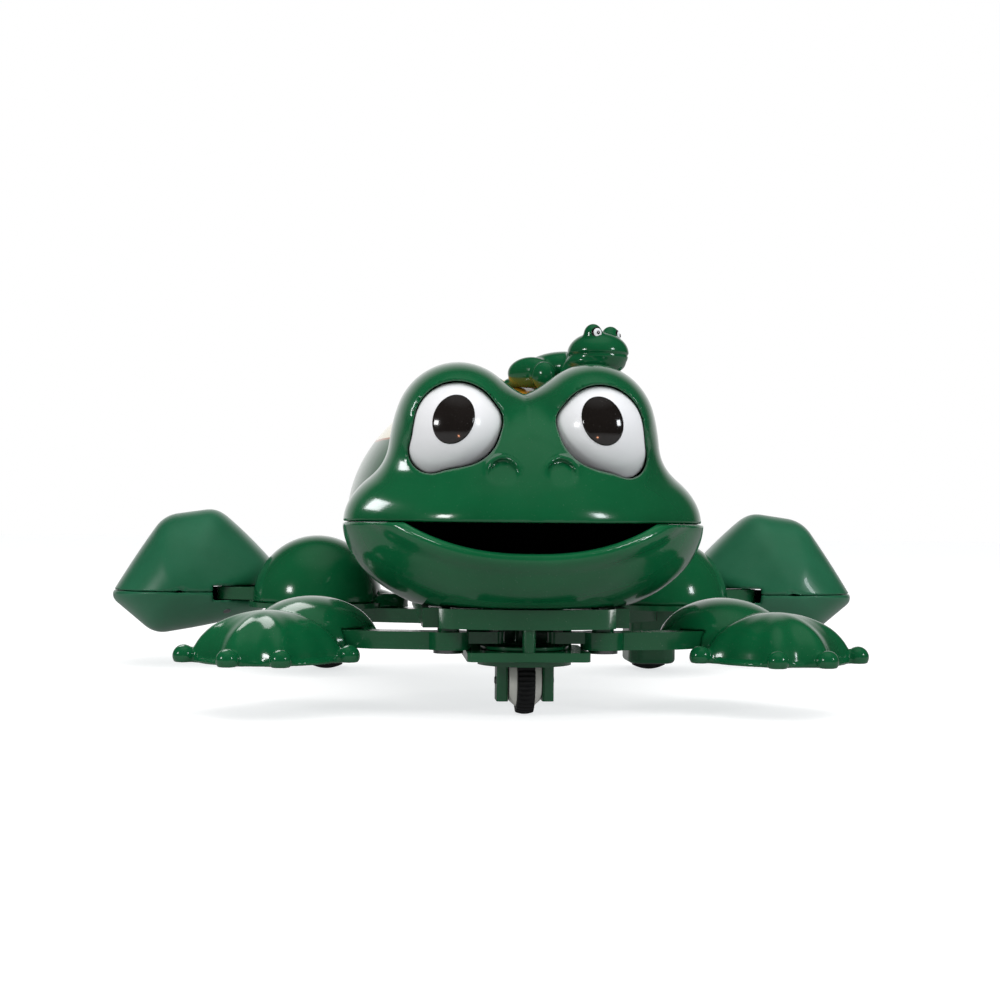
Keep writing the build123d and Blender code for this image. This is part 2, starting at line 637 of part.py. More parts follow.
# ---- Hind legs ----------------------------------------------------------------------------------
def make_thighs():
    pod_low, well = 2.9, (14.4, 22, 21.6)
    bar = limb_bar(HIP_Y, [(52, 52), (64, 66)], 11)
    tab_at = (KNEE[0] - 10, KNEE[1] - 4)
    with BuildPart() as lobe:
        with Locations((*HIP_LOBE, LIMB_Z[1])):
            Cylinder(LOBE_R, LOBE_HEIGHT, align=STAND)
        fillet(lobe.edges().group_by(Axis.Z)[-1], 2.5)
    with BuildPart() as thigh_frame:
        with BuildSketch(Plane.XY.offset(pod_low)):
            with Locations((ROLLER_X, ROLLER_Y)):
                RectangleRounded(19.2, 27, 6)
        extrude(amount=LIMB_Z[1] - pod_low)
        fillet(thigh_frame.faces().sort_by(Axis.Z)[0].edges(), 2)
        add(bar)
        with BuildSketch(Plane.XY.offset(LIMB_Z[1])):
            with Locations(THIGH):
                Ellipse(THIGH_HALF[0] + 1.5, THIGH_HALF[1] + 1.5)
        extrude(amount=THIGH_BASE - LIMB_Z[1])
        add(lobe.part)
        with BuildSketch(Plane.XY.offset(THIGH_BASE)):
            with Locations(tab_at):
                SlotCenterToCenter(20.6, 9, rotation=KNEE_TURN)
        extrude(amount=KNEE_TAB_Z[1] - THIGH_BASE)
        with Locations((ROLLER_X, ROLLER_Y, 0)):
            Box(*well, align=STAND, mode=Mode.SUBTRACT)
        with Locations((ROLLER_X, ROLLER_Y, ROLLER_R)):
            Cylinder(ARBOR_R, 30, rotation=(0, 90, 0), mode=Mode.SUBTRACT)
        with Locations((*KNEE, KNEE_TAB_Z[0])):
            Cylinder(ARBOR_R, 30, mode=Mode.SUBTRACT)
    save_pair(thigh_frame, "thigh_frame")
    outer, inner = dome(THIGH, THIGH_HALF, THIGH_BASE, 2)
    with BuildPart() as thigh_shell:
        add(outer)
        add(inner, mode=Mode.SUBTRACT)
        with Locations((*tab_at, THIGH_BASE)):
            slot_height = 2 * (KNEE_TAB_Z[1] - THIGH_BASE) + 0.4
            Box(34, 9.6, slot_height, rotation=(0, 0, KNEE_TURN), mode=Mode.SUBTRACT)
        with Locations((*HIP_LOBE, LIMB_Z[1])):
            Cylinder(LOBE_R + 0.2, LOBE_HEIGHT + 0.2, align=STAND, mode=Mode.SUBTRACT)
    save_pair(thigh_shell, "thigh_shell")


def make_rollers():
    save_pair(wheel_pin(ROLLER_X, ROLLER_Y, ROLLER_R, ARBOR_R, 18.6), "roller_axle")
    seat_r, crown = 6.5, 1.6
    with BuildPart() as roller_hub:
        with Locations((ROLLER_X, ROLLER_Y, ROLLER_R)):
            Cylinder(seat_r, 2 * ROLLER_HALF, rotation=(0, 90, 0))
            Cylinder(ARBOR_R + RUN, 30, rotation=(0, 90, 0), mode=Mode.SUBTRACT)
    save_pair(roller_hub, "roller_hub")
    shoulder = (ROLLER_HALF, ROLLER_R - crown)
    far_shoulder = (-ROLLER_HALF, ROLLER_R - crown)
    with BuildPart() as roller_tyre:
        with BuildSketch(facing_front(ROLLER_X, ROLLER_Y, ROLLER_R)):
            with BuildLine():
                Polyline(shoulder, (ROLLER_HALF, seat_r), (-ROLLER_HALF, seat_r), far_shoulder)
                ThreePointArc(shoulder, (0, ROLLER_R), far_shoulder)
            make_face()
        revolve(axis=Axis((ROLLER_X, ROLLER_Y, ROLLER_R), (1, 0, 0)))
    save_pair(roller_tyre, "roller_tyre")


# The foot's section at its widest, from the outer corner round over the top, about FOOT_CENTRE.
FOOT_CENTRE = (124, 33)
FOOT_SECTION = [(29, -3), (20, 14), (6, 30), (-14, 32.5), (-27, 22), (-36, 6), (-31, -9), (-16, -14.5), (10, -18)]
# Stations along the foot: y, size and sideways shift of the section.
FOOT_STATIONS = [(64, 0.34, -8), (76, 0.8, 0), (94, 1.0, 0), (112, 0.84, 2), (130, 0.3, 4)]


def foot_solid(inset):
    with BuildPart(mode=Mode.PRIVATE) as foot:
        for y, size, shift in FOOT_STATIONS:
            shrink = size - inset / 24
            blunt_end = size < 0.5
            end = math.copysign(inset, 90 - y) if blunt_end else 0
            outline = [(out * shrink, up * shrink) for out, up in FOOT_SECTION]
            with BuildSketch(facing_front(FOOT_CENTRE[0] + shift, y + end, FOOT_CENTRE[1])):
                with BuildLine():
                    Spline(*outline, periodic=True)
                make_face()
        loft()
    return foot.part


def foot_half(outer, inner, keep, boss_z, name):
    """One moulded half of the foot, with the knee boss that meets the thigh's tab."""
    with BuildPart() as boss:
        with Locations((*KNEE, boss_z[0])):
            Cylinder(BOSS_R, boss_z[1] - boss_z[0], align=STAND)
        add(outer, mode=Mode.INTERSECT)
    with BuildPart() as half:
        add(outer)
        add(inner, mode=Mode.SUBTRACT)
        with Locations((KNEE[0] - 12, KNEE[1] - 7, sum(KNEE_TAB_Z) / 2)):
            Box(34, 28, KNEE_TAB_Z[1] - KNEE_TAB_Z[0] + 0.8, mode=Mode.SUBTRACT)
        split(bisect_by=Plane.XY.offset(FOOT_SEAM_Z), keep=keep)
        add(boss.part)
        with Locations((*KNEE, sum(KNEE_TAB_Z) / 2)):
            Cylinder(ARBOR_R + RUN, KNEE_PIN + 0.4, mode=Mode.SUBTRACT)
    save_pair(half, name)


def make_feet():
    outer, inner = foot_solid(0), foot_solid(2)
    foot_half(outer, inner, Keep.TOP, (KNEE_TAB_Z[1] + 0.3, 50), "foot_upper")
    foot_half(outer, inner, Keep.BOTTOM, (18, KNEE_TAB_Z[0] - 0.3), "foot_lower")
    with BuildPart() as knee_pin:
        with Locations((*KNEE, sum(KNEE_TAB_Z) / 2)):
            Cylinder(ARBOR_R, KNEE_PIN)
        chamfer(knee_pin.edges().filter_by(GeomType.CIRCLE), 0.3)
    save_pair(knee_pin, "knee_pin")


# ---- Clockwork motor ----------------------------------------------------------------------------
GREAT, PINION, WHEEL = 30, 12, 36
GREAT_PHASE = 0.0
FIRST_PINION_PHASE = mesh_phase(GREAT_PHASE, GREAT, WIND_YZ, PINION, FIRST_YZ)
FIRST_WHEEL_PHASE = 0.0
CRANK_PINION_PHASE = mesh_phase(FIRST_WHEEL_PHASE, WHEEL, FIRST_YZ, PINION, CRANK_YZ)
CRANK_WHEEL_PHASE = 0.0
GOVERNOR_PHASE = mesh_phase(CRANK_WHEEL_PHASE, WHEEL, CRANK_YZ, PINION, GOVERNOR_YZ)
ARBORS = [WIND_YZ, FIRST_YZ, CRANK_YZ, GOVERNOR_YZ]
PILLARS = [(-33, 42), (12, 42), (-33, 66), (12, 90)]


def motor_plate(x, name):
    """A flat side plate, its outline stepping round the dome, with a pivot hole for each arbor."""
    low, high = FLOOR_Z + WALL, 102
    with BuildPart() as plate:
        with BuildSketch(across(x, (0, 0))):
            with BuildLine():
                FilletPolyline(
                    (-37, low), (-37, high - 6), (-31, high), (2, high), (16, high - 10), (16, low),
                    radius=3, close=True,
                )
            make_face()
            with Locations(*ARBORS):
                Circle(ARBOR_R + RUN, mode=Mode.SUBTRACT)
            with Locations((2, 84), (-26, 58)):
                Circle(4, mode=Mode.SUBTRACT)
        extrude(amount=FRAME_PLATE)
    save(plate.part, name)


def make_frame():
    motor_plate(FRAME_HALF, "motor_plate_left")
    motor_plate(-FRAME_HALF - FRAME_PLATE, "motor_plate_right")
    with BuildPart() as motor_pillars:
        with BuildSketch(across(-FRAME_HALF, (0, 0))):
            with Locations(*PILLARS):
                Circle(2)
        extrude(amount=2 * FRAME_HALF)
    save(motor_pillars.part, "motor_pillars")


def arbor(at, ends, name, collars):
    """A steel arbor between ends along X, with pinions or collars joined to it."""
    with BuildPart() as shaft:
        with BuildSketch(across(ends[0], at)):
            Circle(ARBOR_R)
        extrude(amount=ends[1] - ends[0])
        for ring in collars:
            add(ring)
    save(shaft.part, name)


def collar(at, x, width, radius):
    with BuildPart(mode=Mode.PRIVATE) as ring:
        with BuildSketch(across(x, at)):
            Circle(radius)
        extrude(amount=width)
    return ring.part


def brass_wheel(at, x, width, teeth, phase, bore, name):
    """A crossed-out brass wheel with round windows."""
    blank = gear_blank(at, x, width, teeth, phase, bore)
    with BuildPart() as wheel:
        add(blank)
        window = MODULE * teeth / 2 * 0.56
        with BuildSketch(across(x, at)):
            with PolarLocations(window, 5):
                Circle(window * 0.38)
        extrude(amount=width, mode=Mode.SUBTRACT)
    save(wheel.part, name)


def make_train():
    end = FRAME_HALF + FRAME_PLATE + 0.4
    core = collar(WIND_YZ, -8.6, 8.4, 2.8)
    arbor(WIND_YZ, (-end, KNOB_X[1] - 3), "winding_arbor", [core])
    brass_wheel(WIND_YZ, -12.5, 1.5, GREAT, GREAT_PHASE, ARBOR_R + RUN, "great_wheel")
    first = gear_blank(FIRST_YZ, -13.2, 2.8, PINION, FIRST_PINION_PHASE, 0.5)
    arbor(FIRST_YZ, (-end, end), "first_arbor", [first])
    brass_wheel(FIRST_YZ, 1, 1.4, WHEEL, FIRST_WHEEL_PHASE, ARBOR_R, "first_wheel")
    second = gear_blank(CRANK_YZ, 0.2, 3, PINION, CRANK_PINION_PHASE, 0.5)
    arbor(CRANK_YZ, (-end, 15.6), "crank_arbor", [second])
    brass_wheel(CRANK_YZ, 6, 1.4, WHEEL, CRANK_WHEEL_PHASE, ARBOR_R, "crank_wheel")
    third = gear_blank(GOVERNOR_YZ, 5.2, 3, PINION, GOVERNOR_PHASE, 0.5)
    arbor(GOVERNOR_YZ, (-end, end), "governor_arbor", [third])
    with BuildPart() as crank_disc:
        with BuildSketch(across(15.6, CRANK_YZ)):
            Circle(6)
        extrude(amount=2)
        with BuildSketch(across(17.6, (CRANK_YZ[0], CRANK_YZ[1] - STROKE))):
            Circle(1.2)
        extrude(amount=1.8)
    save(crank_disc.part, "crank_disc")
    with BuildPart() as governor_fly:
        with BuildSketch(across(-3, GOVERNOR_YZ)):
            Circle(4)
            with PolarLocations(6, 2):
                SlotOverall(8, 5)
            Circle(ARBOR_R, mode=Mode.SUBTRACT)
        extrude(amount=2)
    save(governor_fly.part, "governor_fly")


def make_spring_and_click():
    coils, inner_r, pitch, strip, steps = 5.5, 3.6, 1.3, 0.5, 12

    def spiral(start_r):
        """Points on an Archimedean spiral from the given radius."""
        angles = [math.tau * k / steps for k in range(int(coils * steps) + 1)]
        radii = [start_r + pitch * a / math.tau for a in angles]
        return [(r * math.cos(a), r * math.sin(a)) for r, a in zip(radii, angles)]

    inside, outside = spiral(inner_r), spiral(inner_r + strip)
    with BuildPart() as mainspring:
        with BuildSketch(across(-8.4, WIND_YZ)):
            with BuildLine():
                Spline(*inside)
                Spline(*outside)
                Line(inside[0], outside[0])
                Line(inside[-1], outside[-1])
            make_face()
        extrude(amount=8)
    save(mainspring.part, "mainspring")
    teeth, root, tip = 14, 3.8, 5.0
    saw = []
    for k in range(teeth):
        for r, turn_by in ((tip, 0), (root, 0.02)):
            angle = math.tau * (k + turn_by) / teeth
            saw.append((r * math.cos(angle), r * math.sin(angle)))
    with BuildPart() as ratchet_wheel:
        with BuildSketch(across(-10.4, WIND_YZ)):
            with BuildLine():
                Polyline(*saw, close=True)
            make_face()
            Circle(ARBOR_R, mode=Mode.SUBTRACT)
        extrude(amount=1.2)
    save(ratchet_wheel.part, "ratchet_wheel")
    with BuildPart() as click:
        with BuildSketch(across(-11, WIND_YZ)):
            with Locations((0, 9.2)):
                Circle(1.6)
            with BuildLine():
                Polyline((-1.2, 10), (-1.4, 7.6), (2.6, 5.4), (3.2, 6), (1.4, 9.6), close=True)
            make_face()
        extrude(amount=1.6)
    save(click.part, "click")


def make_knob():
    flutes = 24
    with BuildPart() as winding_knob:
        with BuildSketch(across(KNOB_X[0], WIND_YZ)):
            Circle(KNOB_R)
            with PolarLocations(KNOB_R + 0.5, flutes):
                Circle(1, mode=Mode.SUBTRACT)
        extrude(amount=KNOB_X[1] - KNOB_X[0])
        with BuildSketch(across(KNOB_X[0], WIND_YZ)):
            Circle(ARBOR_R)
        extrude(amount=KNOB_X[1] - KNOB_X[0] - 3, mode=Mode.SUBTRACT)
        with BuildSketch(across(KNOB_X[1] - 2, WIND_YZ)):
            Circle(KNOB_R - 3)
            Circle(4, mode=Mode.SUBTRACT)
        extrude(amount=2, mode=Mode.SUBTRACT)
    save(winding_knob.part, "winding_knob")


os.makedirs("parts", exist_ok=True)
make_head()
make_jaw()
make_mouth_liner()
make_back()
make_belly()
make_eyes()
make_baby()
make_pan()
make_slider()
screw_group(PIVOTS, 4.6, (PLATE_Z[1] - 1, PLATE_Z[1]), SCREW_END - 0.2, "pivot_screws")
screw_group(PLATE_POSTS, 1.7, (PLATE_Z[0] + 0.1, PLATE_Z[0] + 1.2), SCREW_END - 0.2, "plate_screws")
screw_group(SHELL_SCREWS, 2.6, (PAN_BOTTOM + 0.1, PAN_BOTTOM + 1.2), SCREW_TOP, "shell_screws")
make_steering()
make_front_wheel()
make_arms()
make_thighs()
make_rollers()
make_feet()
make_frame()
make_train()
make_spring_and_click()
make_knob()
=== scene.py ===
"""Looks for the wind-up swimming frog: glossy moulded shells, eyes, tyres, a baby frog and a pale studio.

Lengths are millimetres in the CAD frame (+X the frog's left, -Y forward, +Z up) until a mesh is made,
and metres in the studio. The frame's own boxes give the places. Rounded plastic pieces are written as
distance fields and turned into meshes by surface_mesh(); flat ones are the CAD shapes with their edges
rounded.
"""

import json
import math

import bmesh
import bpy
import numpy as np
from mathutils import Matrix, Vector

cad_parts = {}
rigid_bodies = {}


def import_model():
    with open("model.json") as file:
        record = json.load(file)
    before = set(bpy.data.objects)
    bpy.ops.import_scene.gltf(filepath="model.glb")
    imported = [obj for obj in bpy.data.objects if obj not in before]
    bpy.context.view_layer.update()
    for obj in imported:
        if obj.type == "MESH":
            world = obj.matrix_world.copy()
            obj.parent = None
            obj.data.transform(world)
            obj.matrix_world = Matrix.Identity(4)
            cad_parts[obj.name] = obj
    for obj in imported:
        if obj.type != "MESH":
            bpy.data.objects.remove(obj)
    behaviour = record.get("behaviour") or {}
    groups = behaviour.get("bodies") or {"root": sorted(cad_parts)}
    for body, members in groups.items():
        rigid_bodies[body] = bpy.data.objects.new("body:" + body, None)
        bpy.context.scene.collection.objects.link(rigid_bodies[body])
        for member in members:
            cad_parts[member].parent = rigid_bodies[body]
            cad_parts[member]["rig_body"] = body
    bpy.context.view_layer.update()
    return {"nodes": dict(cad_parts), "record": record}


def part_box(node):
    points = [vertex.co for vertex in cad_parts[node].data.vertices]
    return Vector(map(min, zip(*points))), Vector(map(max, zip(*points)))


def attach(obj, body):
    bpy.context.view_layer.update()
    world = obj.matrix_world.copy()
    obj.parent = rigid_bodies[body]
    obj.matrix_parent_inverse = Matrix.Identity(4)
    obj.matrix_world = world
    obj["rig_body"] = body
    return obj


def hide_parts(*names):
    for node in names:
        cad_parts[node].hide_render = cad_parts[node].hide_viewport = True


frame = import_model()

MM = 0.001
SIDES = {"left": 1, "right": -1}


def span(node):
    """A CAD node's box as two arrays in millimetres."""
    low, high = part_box(node)
    return np.array(low) / MM, np.array(high) / MM


# ---- Places and sizes ---------------------------------------------------------------------------
BACK_LOW, BACK_HIGH = span("back_shell")
BELLY_LOW, BELLY_HIGH = span("belly_shell")
HEAD_LOW, HEAD_HIGH = span("head_shell")
JAW_LOW, JAW_HIGH = span("jaw_shell")
SEAM = BACK_LOW[2]
FLOOR = BELLY_LOW[2]
HALF_WIDTH = BACK_HIGH[0]
WALL = 2.2
BODY_CLEARANCE = 0.25
# The grid is finer near the seam: (height, reach, step), for surface_mesh().
NEAR_SEAM = (SEAM, 2.5, 0.35)

BODY_HALF_LENGTH = 92
BODY = np.array([0, BACK_HIGH[1] - BODY_HALF_LENGTH, SEAM])
BODY_UP = np.array([HALF_WIDTH, BODY_HALF_LENGTH, BACK_HIGH[2] - SEAM])
BODY_DOWN = np.array([HALF_WIDTH, BODY_HALF_LENGTH, 32])
MUZZLE_HALF_LENGTH = 48
MUZZLE = np.array([0, HEAD_LOW[1] + MUZZLE_HALF_LENGTH, SEAM])
MUZZLE_HALF = np.array([50, MUZZLE_HALF_LENGTH, 21.5])
CHEEK, CHEEK_HALF = MUZZLE + [0, 4, 0], np.array([HALF_WIDTH, 45.5, 27.5])
BROW, BROW_HALF = MUZZLE + [21, -2, 29], np.array([20.3, 31, 21.4])
BROW_FOOT, BROW_FOOT_HALF = MUZZLE + [21.5, 0, 16], np.array([21.8, 25, 24])
BRIDGE, BRIDGE_HALF = MUZZLE + [0, 2, 24], np.array([26, 25, 16.0])
SNOUT, SNOUT_HALF = MUZZLE + [0, -2, 6.5], np.array([36, 40, 27.5])
JAW_HALF = np.array([HALF_WIDTH, MUZZLE_HALF_LENGTH, 32])
MOUTH_HALF_WIDTH, MOUTH_DEPTH, LIP_R = 38.5, 9.4, 3.0
LINER_HALF, LINER_WALL = (43, 12), 1.2
NOSTRIL_X, NOSTRIL_Z, NOSTRIL_R = 8.6, 14.8, 4.3
NOSTRIL_DIP, NOSTRIL_ARCH = 0.95, 0.75
HEAD_TURN = math.radians(1.2)

EYEBALL, EYEBALL_HALF = BROW + [0.4, 0, -1.4], BROW_HALF - 0.9
EYE_CORNER_HALF = BROW_FOOT_HALF - 1.6
PUPIL_HALF, PUPIL_LEAN, PUPIL_PROUD = np.array([6.15, 7.75]), math.radians(-21), 0.28
PUPIL_SPOTS = {"left": (21.6, 90.4), "right": (-23.1, 90.4)}
# The eye opening, seen from the front, is the hull of three circles: (x, z, radius) on the left.
EYE_LOWER, EYE_MIDDLE, EYE_INNER = (29.7, 80.6, 6.9), (21.8, 88.9, 12.5), (13.5, 90.5, 5.4)
EYE_TILT = 0.015


# ---- Distance fields ----------------------------------------------------------------------------
def ellipsoid(p, centre, half):
    """Distance from an ellipsoid, or in a plane from an ellipse, near enough close to its surface."""
    q = (p - centre) / half
    near = np.linalg.norm(q, axis=1)
    slope = np.linalg.norm(q / half, axis=1)
    return near * (near - 1) / np.maximum(slope, 1e-6)


def join(k, *parts):
    """Union of parts, blended over about k."""
    total = parts[0]
    for part in parts[1:]:
        total = np.minimum(total, part) - np.maximum(k - np.abs(total - part), 0) ** 2 / (4 * k)
    return total


def meet(k, *parts):
    """Intersection of parts, with edges rounded over about k."""
    return -join(k, *[-part for part in parts])


def cut(k, whole, *tools):
    return meet(k, whole, *[-tool for tool in tools])


def capsule(x, z, one, two):
    """Distance in a plane from the hull of two circles, each (x, z, radius)."""
    along = np.array([two[0] - one[0], two[1] - one[1]], float)
    length = np.hypot(*along)
    along /= length
    dx, dz = x - one[0], z - one[1]
    up = dx * along[0] + dz * along[1]
    side = np.abs(dx * along[1] - dz * along[0])
    lean = (one[2] - two[2]) / length
    flat = math.sqrt(1 - lean * lean)
    where = up * flat - side * lean
    return np.where(
        where < 0,
        np.hypot(side, up) - one[2],
        np.where(where > flat * length, np.hypot(side, up - length) - two[2], side * flat + up * lean - one[2]),
    )


def plan_away(p, at):
    """Distance in plan from a point (x, y)."""
    return np.hypot(p[:, 0] - at[0], p[:, 1] - at[1])


def plan_box(p, middle, half):
    """Distance in plan from a rectangle, its middle and half-size given as (x, y)."""
    return np.maximum(*[np.abs(p[:, a] - middle[a]) - half[a] for a in (0, 1)])


def outside(value, low, high):
    """How far a value is outside a range, negative inside it."""
    return np.maximum(low - value, value - high)


def mirrored(p):
    """The points folded on to the frog's left side."""
    return np.stack([np.abs(p[:, 0]), p[:, 1], p[:, 2]], 1)


def flipped(field, side):
    """The same field for a piece on the given side."""
    return lambda p: field(p * [side, 1, 1])


def side_range(low, high, side):
    """A box on the frog's left, carried to the given side."""
    xs = sorted((low[0] * side, high[0] * side))
    return (xs[0], low[1], low[2]), (xs[1], high[1], high[2])


def groove(outer, z, sign):
    """Keeps the side of the seam given by sign, with a narrow groove where it meets the outside."""
    open_by = 0.01 + 0.34 * np.clip((outer + 1.4) / 1.4, 0, 1)
    return open_by - sign * (z - SEAM)


# ---- Meshes -------------------------------------------------------------------------------------
def ticks(low, high, step, fine):
    """Grid lines from low to high, closer together near each (place, reach, step) of fine."""
    lines = [low - 2 * step]
    while lines[-1] < high + 2 * step:
        sizes = [small for place, reach, small in fine if abs(lines[-1] - place) < reach]
        lines.append(lines[-1] + min(sizes + [step]))
    return np.array(lines)


def slope_of(field, points, reach=0.02):
    """The field's gradient at the points."""
    steps = np.eye(3) * reach
    return np.stack([(field(points + s) - field(points - s)) / (2 * reach) for s in steps], 1)


def net_faces(index, inside):
    """Quads between neighbouring cells round each grid edge that crosses the surface."""
    faces = []
    for a in range(3):
        order = (a, (a + 1) % 3, (a + 2) % 3)
        solid, cells = np.moveaxis(inside, order, (0, 1, 2)), np.moveaxis(index, order, (0, 1, 2))
        near, far = solid[:-1, 1:-1, 1:-1], solid[1:, 1:-1, 1:-1]
        i, j, k = np.nonzero(near != far)
        j, k = j + 1, k + 1
        ring = np.stack([cells[i, j, k], cells[i, j - 1, k], cells[i, j - 1, k - 1], cells[i, j, k - 1]], 1)
        outward = near[near != far]
        ring[~outward] = ring[~outward][:, ::-1]
        faces.append(ring)
    return np.concatenate(faces)


def surface_mesh(field, low, high, step, fine_z):
    """Points and quads on a field's zero surface, on a grid, then drawn on to the surface itself."""
    lines = [ticks(low[a], high[a], step, fine_z if a == 2 else []) for a in range(3)]
    grid = np.stack(np.meshgrid(*lines, indexing="ij"), -1)
    value = field(grid.reshape(-1, 3)).reshape(grid.shape[:3])
    inside = value < 0
    cells = [n - 1 for n in value.shape]

    def corner(array, offset):
        return array[tuple(slice(o, o + n) for o, n in zip(offset, cells))]

    total, hits = np.zeros(cells + [3]), np.zeros(cells)
    for a in range(3):
        for first in ((0, 0), (0, 1), (1, 0), (1, 1)):
            start = np.insert(first, a, 0)
            end = start + np.eye(3, dtype=int)[a]
            v0, v1 = corner(value, start), corner(value, end)
            crossing = (v0 < 0) != (v1 < 0)
            share = np.where(crossing, v0 / np.where(crossing, v0 - v1, 1), 0)[..., None]
            at = corner(grid, start) * (1 - share) + corner(grid, end) * share
            total += np.where(crossing[..., None], at, 0)
            hits += crossing
    active = hits > 0
    index = np.full(cells, -1)
    index[active] = np.arange(active.sum())
    points = total[active] / hits[active][:, None]
    for _ in range(4):
        slope = slope_of(field, points)
        move = field(points)[:, None] * slope / np.maximum((slope**2).sum(1), 0.25)[:, None]
        points -= np.clip(move, -0.4 * step, 0.4 * step)
    return points, net_faces(index, inside)


def new_object(name, points, faces):
    """A smooth-shaded object from points in millimetres."""
    mesh = bpy.data.meshes.new(name)
    mesh.from_pydata((points * MM).tolist(), [], faces.tolist())
    mesh.polygons.foreach_set("use_smooth", [True] * len(mesh.polygons))
    mesh.update()
    piece = bpy.data.objects.new(name, mesh)
    bpy.context.scene.collection.objects.link(piece)
    return piece


def place(piece, body, material, slot, *nodes):
    """Puts a finished piece on its body, in a material, in place of CAD nodes."""
    piece.data.materials.clear()
    piece.data.materials.append(material)
    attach(piece, body)
    if nodes:
        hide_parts(*nodes)
    return piece


def moulded(name, field, low, high, step, body, material, nodes, near_z=None, slot="shell_green"):
    """A piece made from a distance field inside the box from low to high."""
    fine = [near_z] if near_z else []
    points, faces = surface_mesh(field, np.array(low, float), np.array(high, float), step, fine)
    return place(new_object(name, points, faces), body, material, slot, *nodes)


# ---- Materials ----------------------------------------------------------------------------------
class Nodes:
    """A small helper for building node trees."""

    def __init__(self, name):
        self.material = bpy.data.materials.new(name)
        self.material.use_nodes = True
        self.tree = self.material.node_tree
        self.shader = self.tree.nodes["Principled BSDF"]
        self.coords = self.tree.nodes.new("ShaderNodeTexCoord").outputs["Object"]

    def add(self, kind, values=(), **inputs):
        """A node with the given properties, its named inputs fed with values or other nodes' outputs."""
        node = self.tree.nodes.new(kind)
        for key, value in dict(values).items():
            setattr(node, key, value)
        for key, value in inputs.items():
            self.feed(node.inputs[key], value)
        return node

    def feed(self, socket, value):
        if isinstance(value, bpy.types.NodeSocket):
            self.tree.links.new(value, socket)
        else:
            socket.default_value = value

    def math(self, operation, *values, clamp=False):
        node = self.add("ShaderNodeMath", {"operation": operation, "use_clamp": clamp})
        for socket, value in zip(node.inputs, values):
            self.feed(socket, value)
        return node.outputs[0]

    def noise(self, scale, detail=3.0, rough=0.55):
        settings = {"Scale": scale, "Detail": detail, "Roughness": rough}
        return self.add("ShaderNodeTexNoise", Vector=self.coords, **settings).outputs["Fac"]

    def ramp(self, value, low, high, start=0.0, end=1.0):
        node = self.add("ShaderNodeMapRange", Value=value)
        for socket, number in zip(node.inputs[1:5], (low, high, start, end)):
            self.feed(socket, number)
        return node.outputs[0]

    def mix(self, share, one, two):
        node = self.add("ShaderNodeMix", {"data_type": "RGBA"})
        self.feed(node.inputs[0], share)
        self.feed(node.inputs[6], one)
        self.feed(node.inputs[7], two)
        return node.outputs[2]

    def bump(self, height, strength, distance):
        return self.add("ShaderNodeBump", Height=height, Strength=strength, Distance=distance).outputs["Normal"]

    def set(self, **inputs):
        for key, value in inputs.items():
            self.feed(self.shader.inputs[key.replace("_", " ")], value)


def linear(red, green, blue):
    """A colour given as 0-255 screen values, as the linear value that shaders use."""
    values = (((c / 255 + 0.055) / 1.055) ** 2.4 if c > 10 else c / 3294.6 for c in (red, green, blue))
    return (*values, 1)


def gloss_plastic(name, dark, light, rough=0.13, coat=0.25):
    """Moulded plastic: pigment that drifts a little, a faint orange peel, and fine pale specks in the colour.
    """
    n = Nodes(name)
    drift = n.ramp(n.noise(38, 4), 0.3, 0.7)
    specks = n.ramp(n.noise(2600, 1), 0.72, 0.8)
    colour = n.mix(n.math("MULTIPLY", specks, 0.12), n.mix(drift, dark, light), (0.6, 0.62, 0.6, 1))
    smudge = n.ramp(n.noise(60, 5, 0.6), 0.35, 0.75, rough, rough + 0.07)
    height = n.math("ADD", n.noise(120, 2), n.math("MULTIPLY", n.noise(900, 2), 0.25))
    n.set(Base_Color=colour, Roughness=smudge, IOR=1.5, Coat_Weight=coat, Coat_Roughness=0.04)
    n.set(Normal=n.bump(height, 0.05, 0.0006))
    return n


GREEN_DARK, GREEN_LIGHT = linear(10, 84, 48), linear(15, 94, 55)


def painted_back():
    """Green plastic with a sprayed patch on top: a thin brown edge, a cream band and an orange middle."""
    n = gloss_plastic("back_green", GREEN_DARK, GREEN_LIGHT)
    plain = n.shader.inputs["Base Color"].links[0].from_socket
    split = n.add("ShaderNodeSeparateXYZ", Vector=n.coords)
    waver = n.math("MULTIPLY", n.math("SUBTRACT", n.noise(30, 2), 0.5), 1.6 * MM)
    rise = n.math("ADD", split.outputs["Z"], waver)
    edge_z = (SEAM + 0.55 * (BACK_HIGH[2] - SEAM)) * MM
    orange = n.mix(n.noise(55, 3), linear(244, 158, 30), linear(250, 186, 66))
    cream = n.mix(n.noise(70, 3), linear(236, 226, 196), linear(247, 241, 222))
    inner = n.mix(n.ramp(rise, edge_z + 9 * MM, edge_z + 13 * MM), cream, orange)
    banded = n.mix(n.ramp(rise, edge_z + 0.7 * MM, edge_z + 0.9 * MM), linear(170, 98, 44), inner)
    n.set(Base_Color=n.mix(n.ramp(rise, edge_z, edge_z + 0.15 * MM), plain, banded))
    return n.material


def rubber(name):
    """Black rubber with grey dust in patches."""
    n = Nodes(name)
    grime = n.ramp(n.noise(400, 5, 0.7), 0.45, 0.75)
    n.set(Base_Color=n.mix(n.math("MULTIPLY", grime, 0.5), linear(14, 15, 16), linear(40, 40, 40)))
    n.set(Roughness=n.ramp(grime, 0, 1, 0.5, 0.7), Normal=n.bump(n.noise(1500, 3), 0.15, 0.0003))
    n.set(Specular_IOR_Level=0.3)
    return n.material


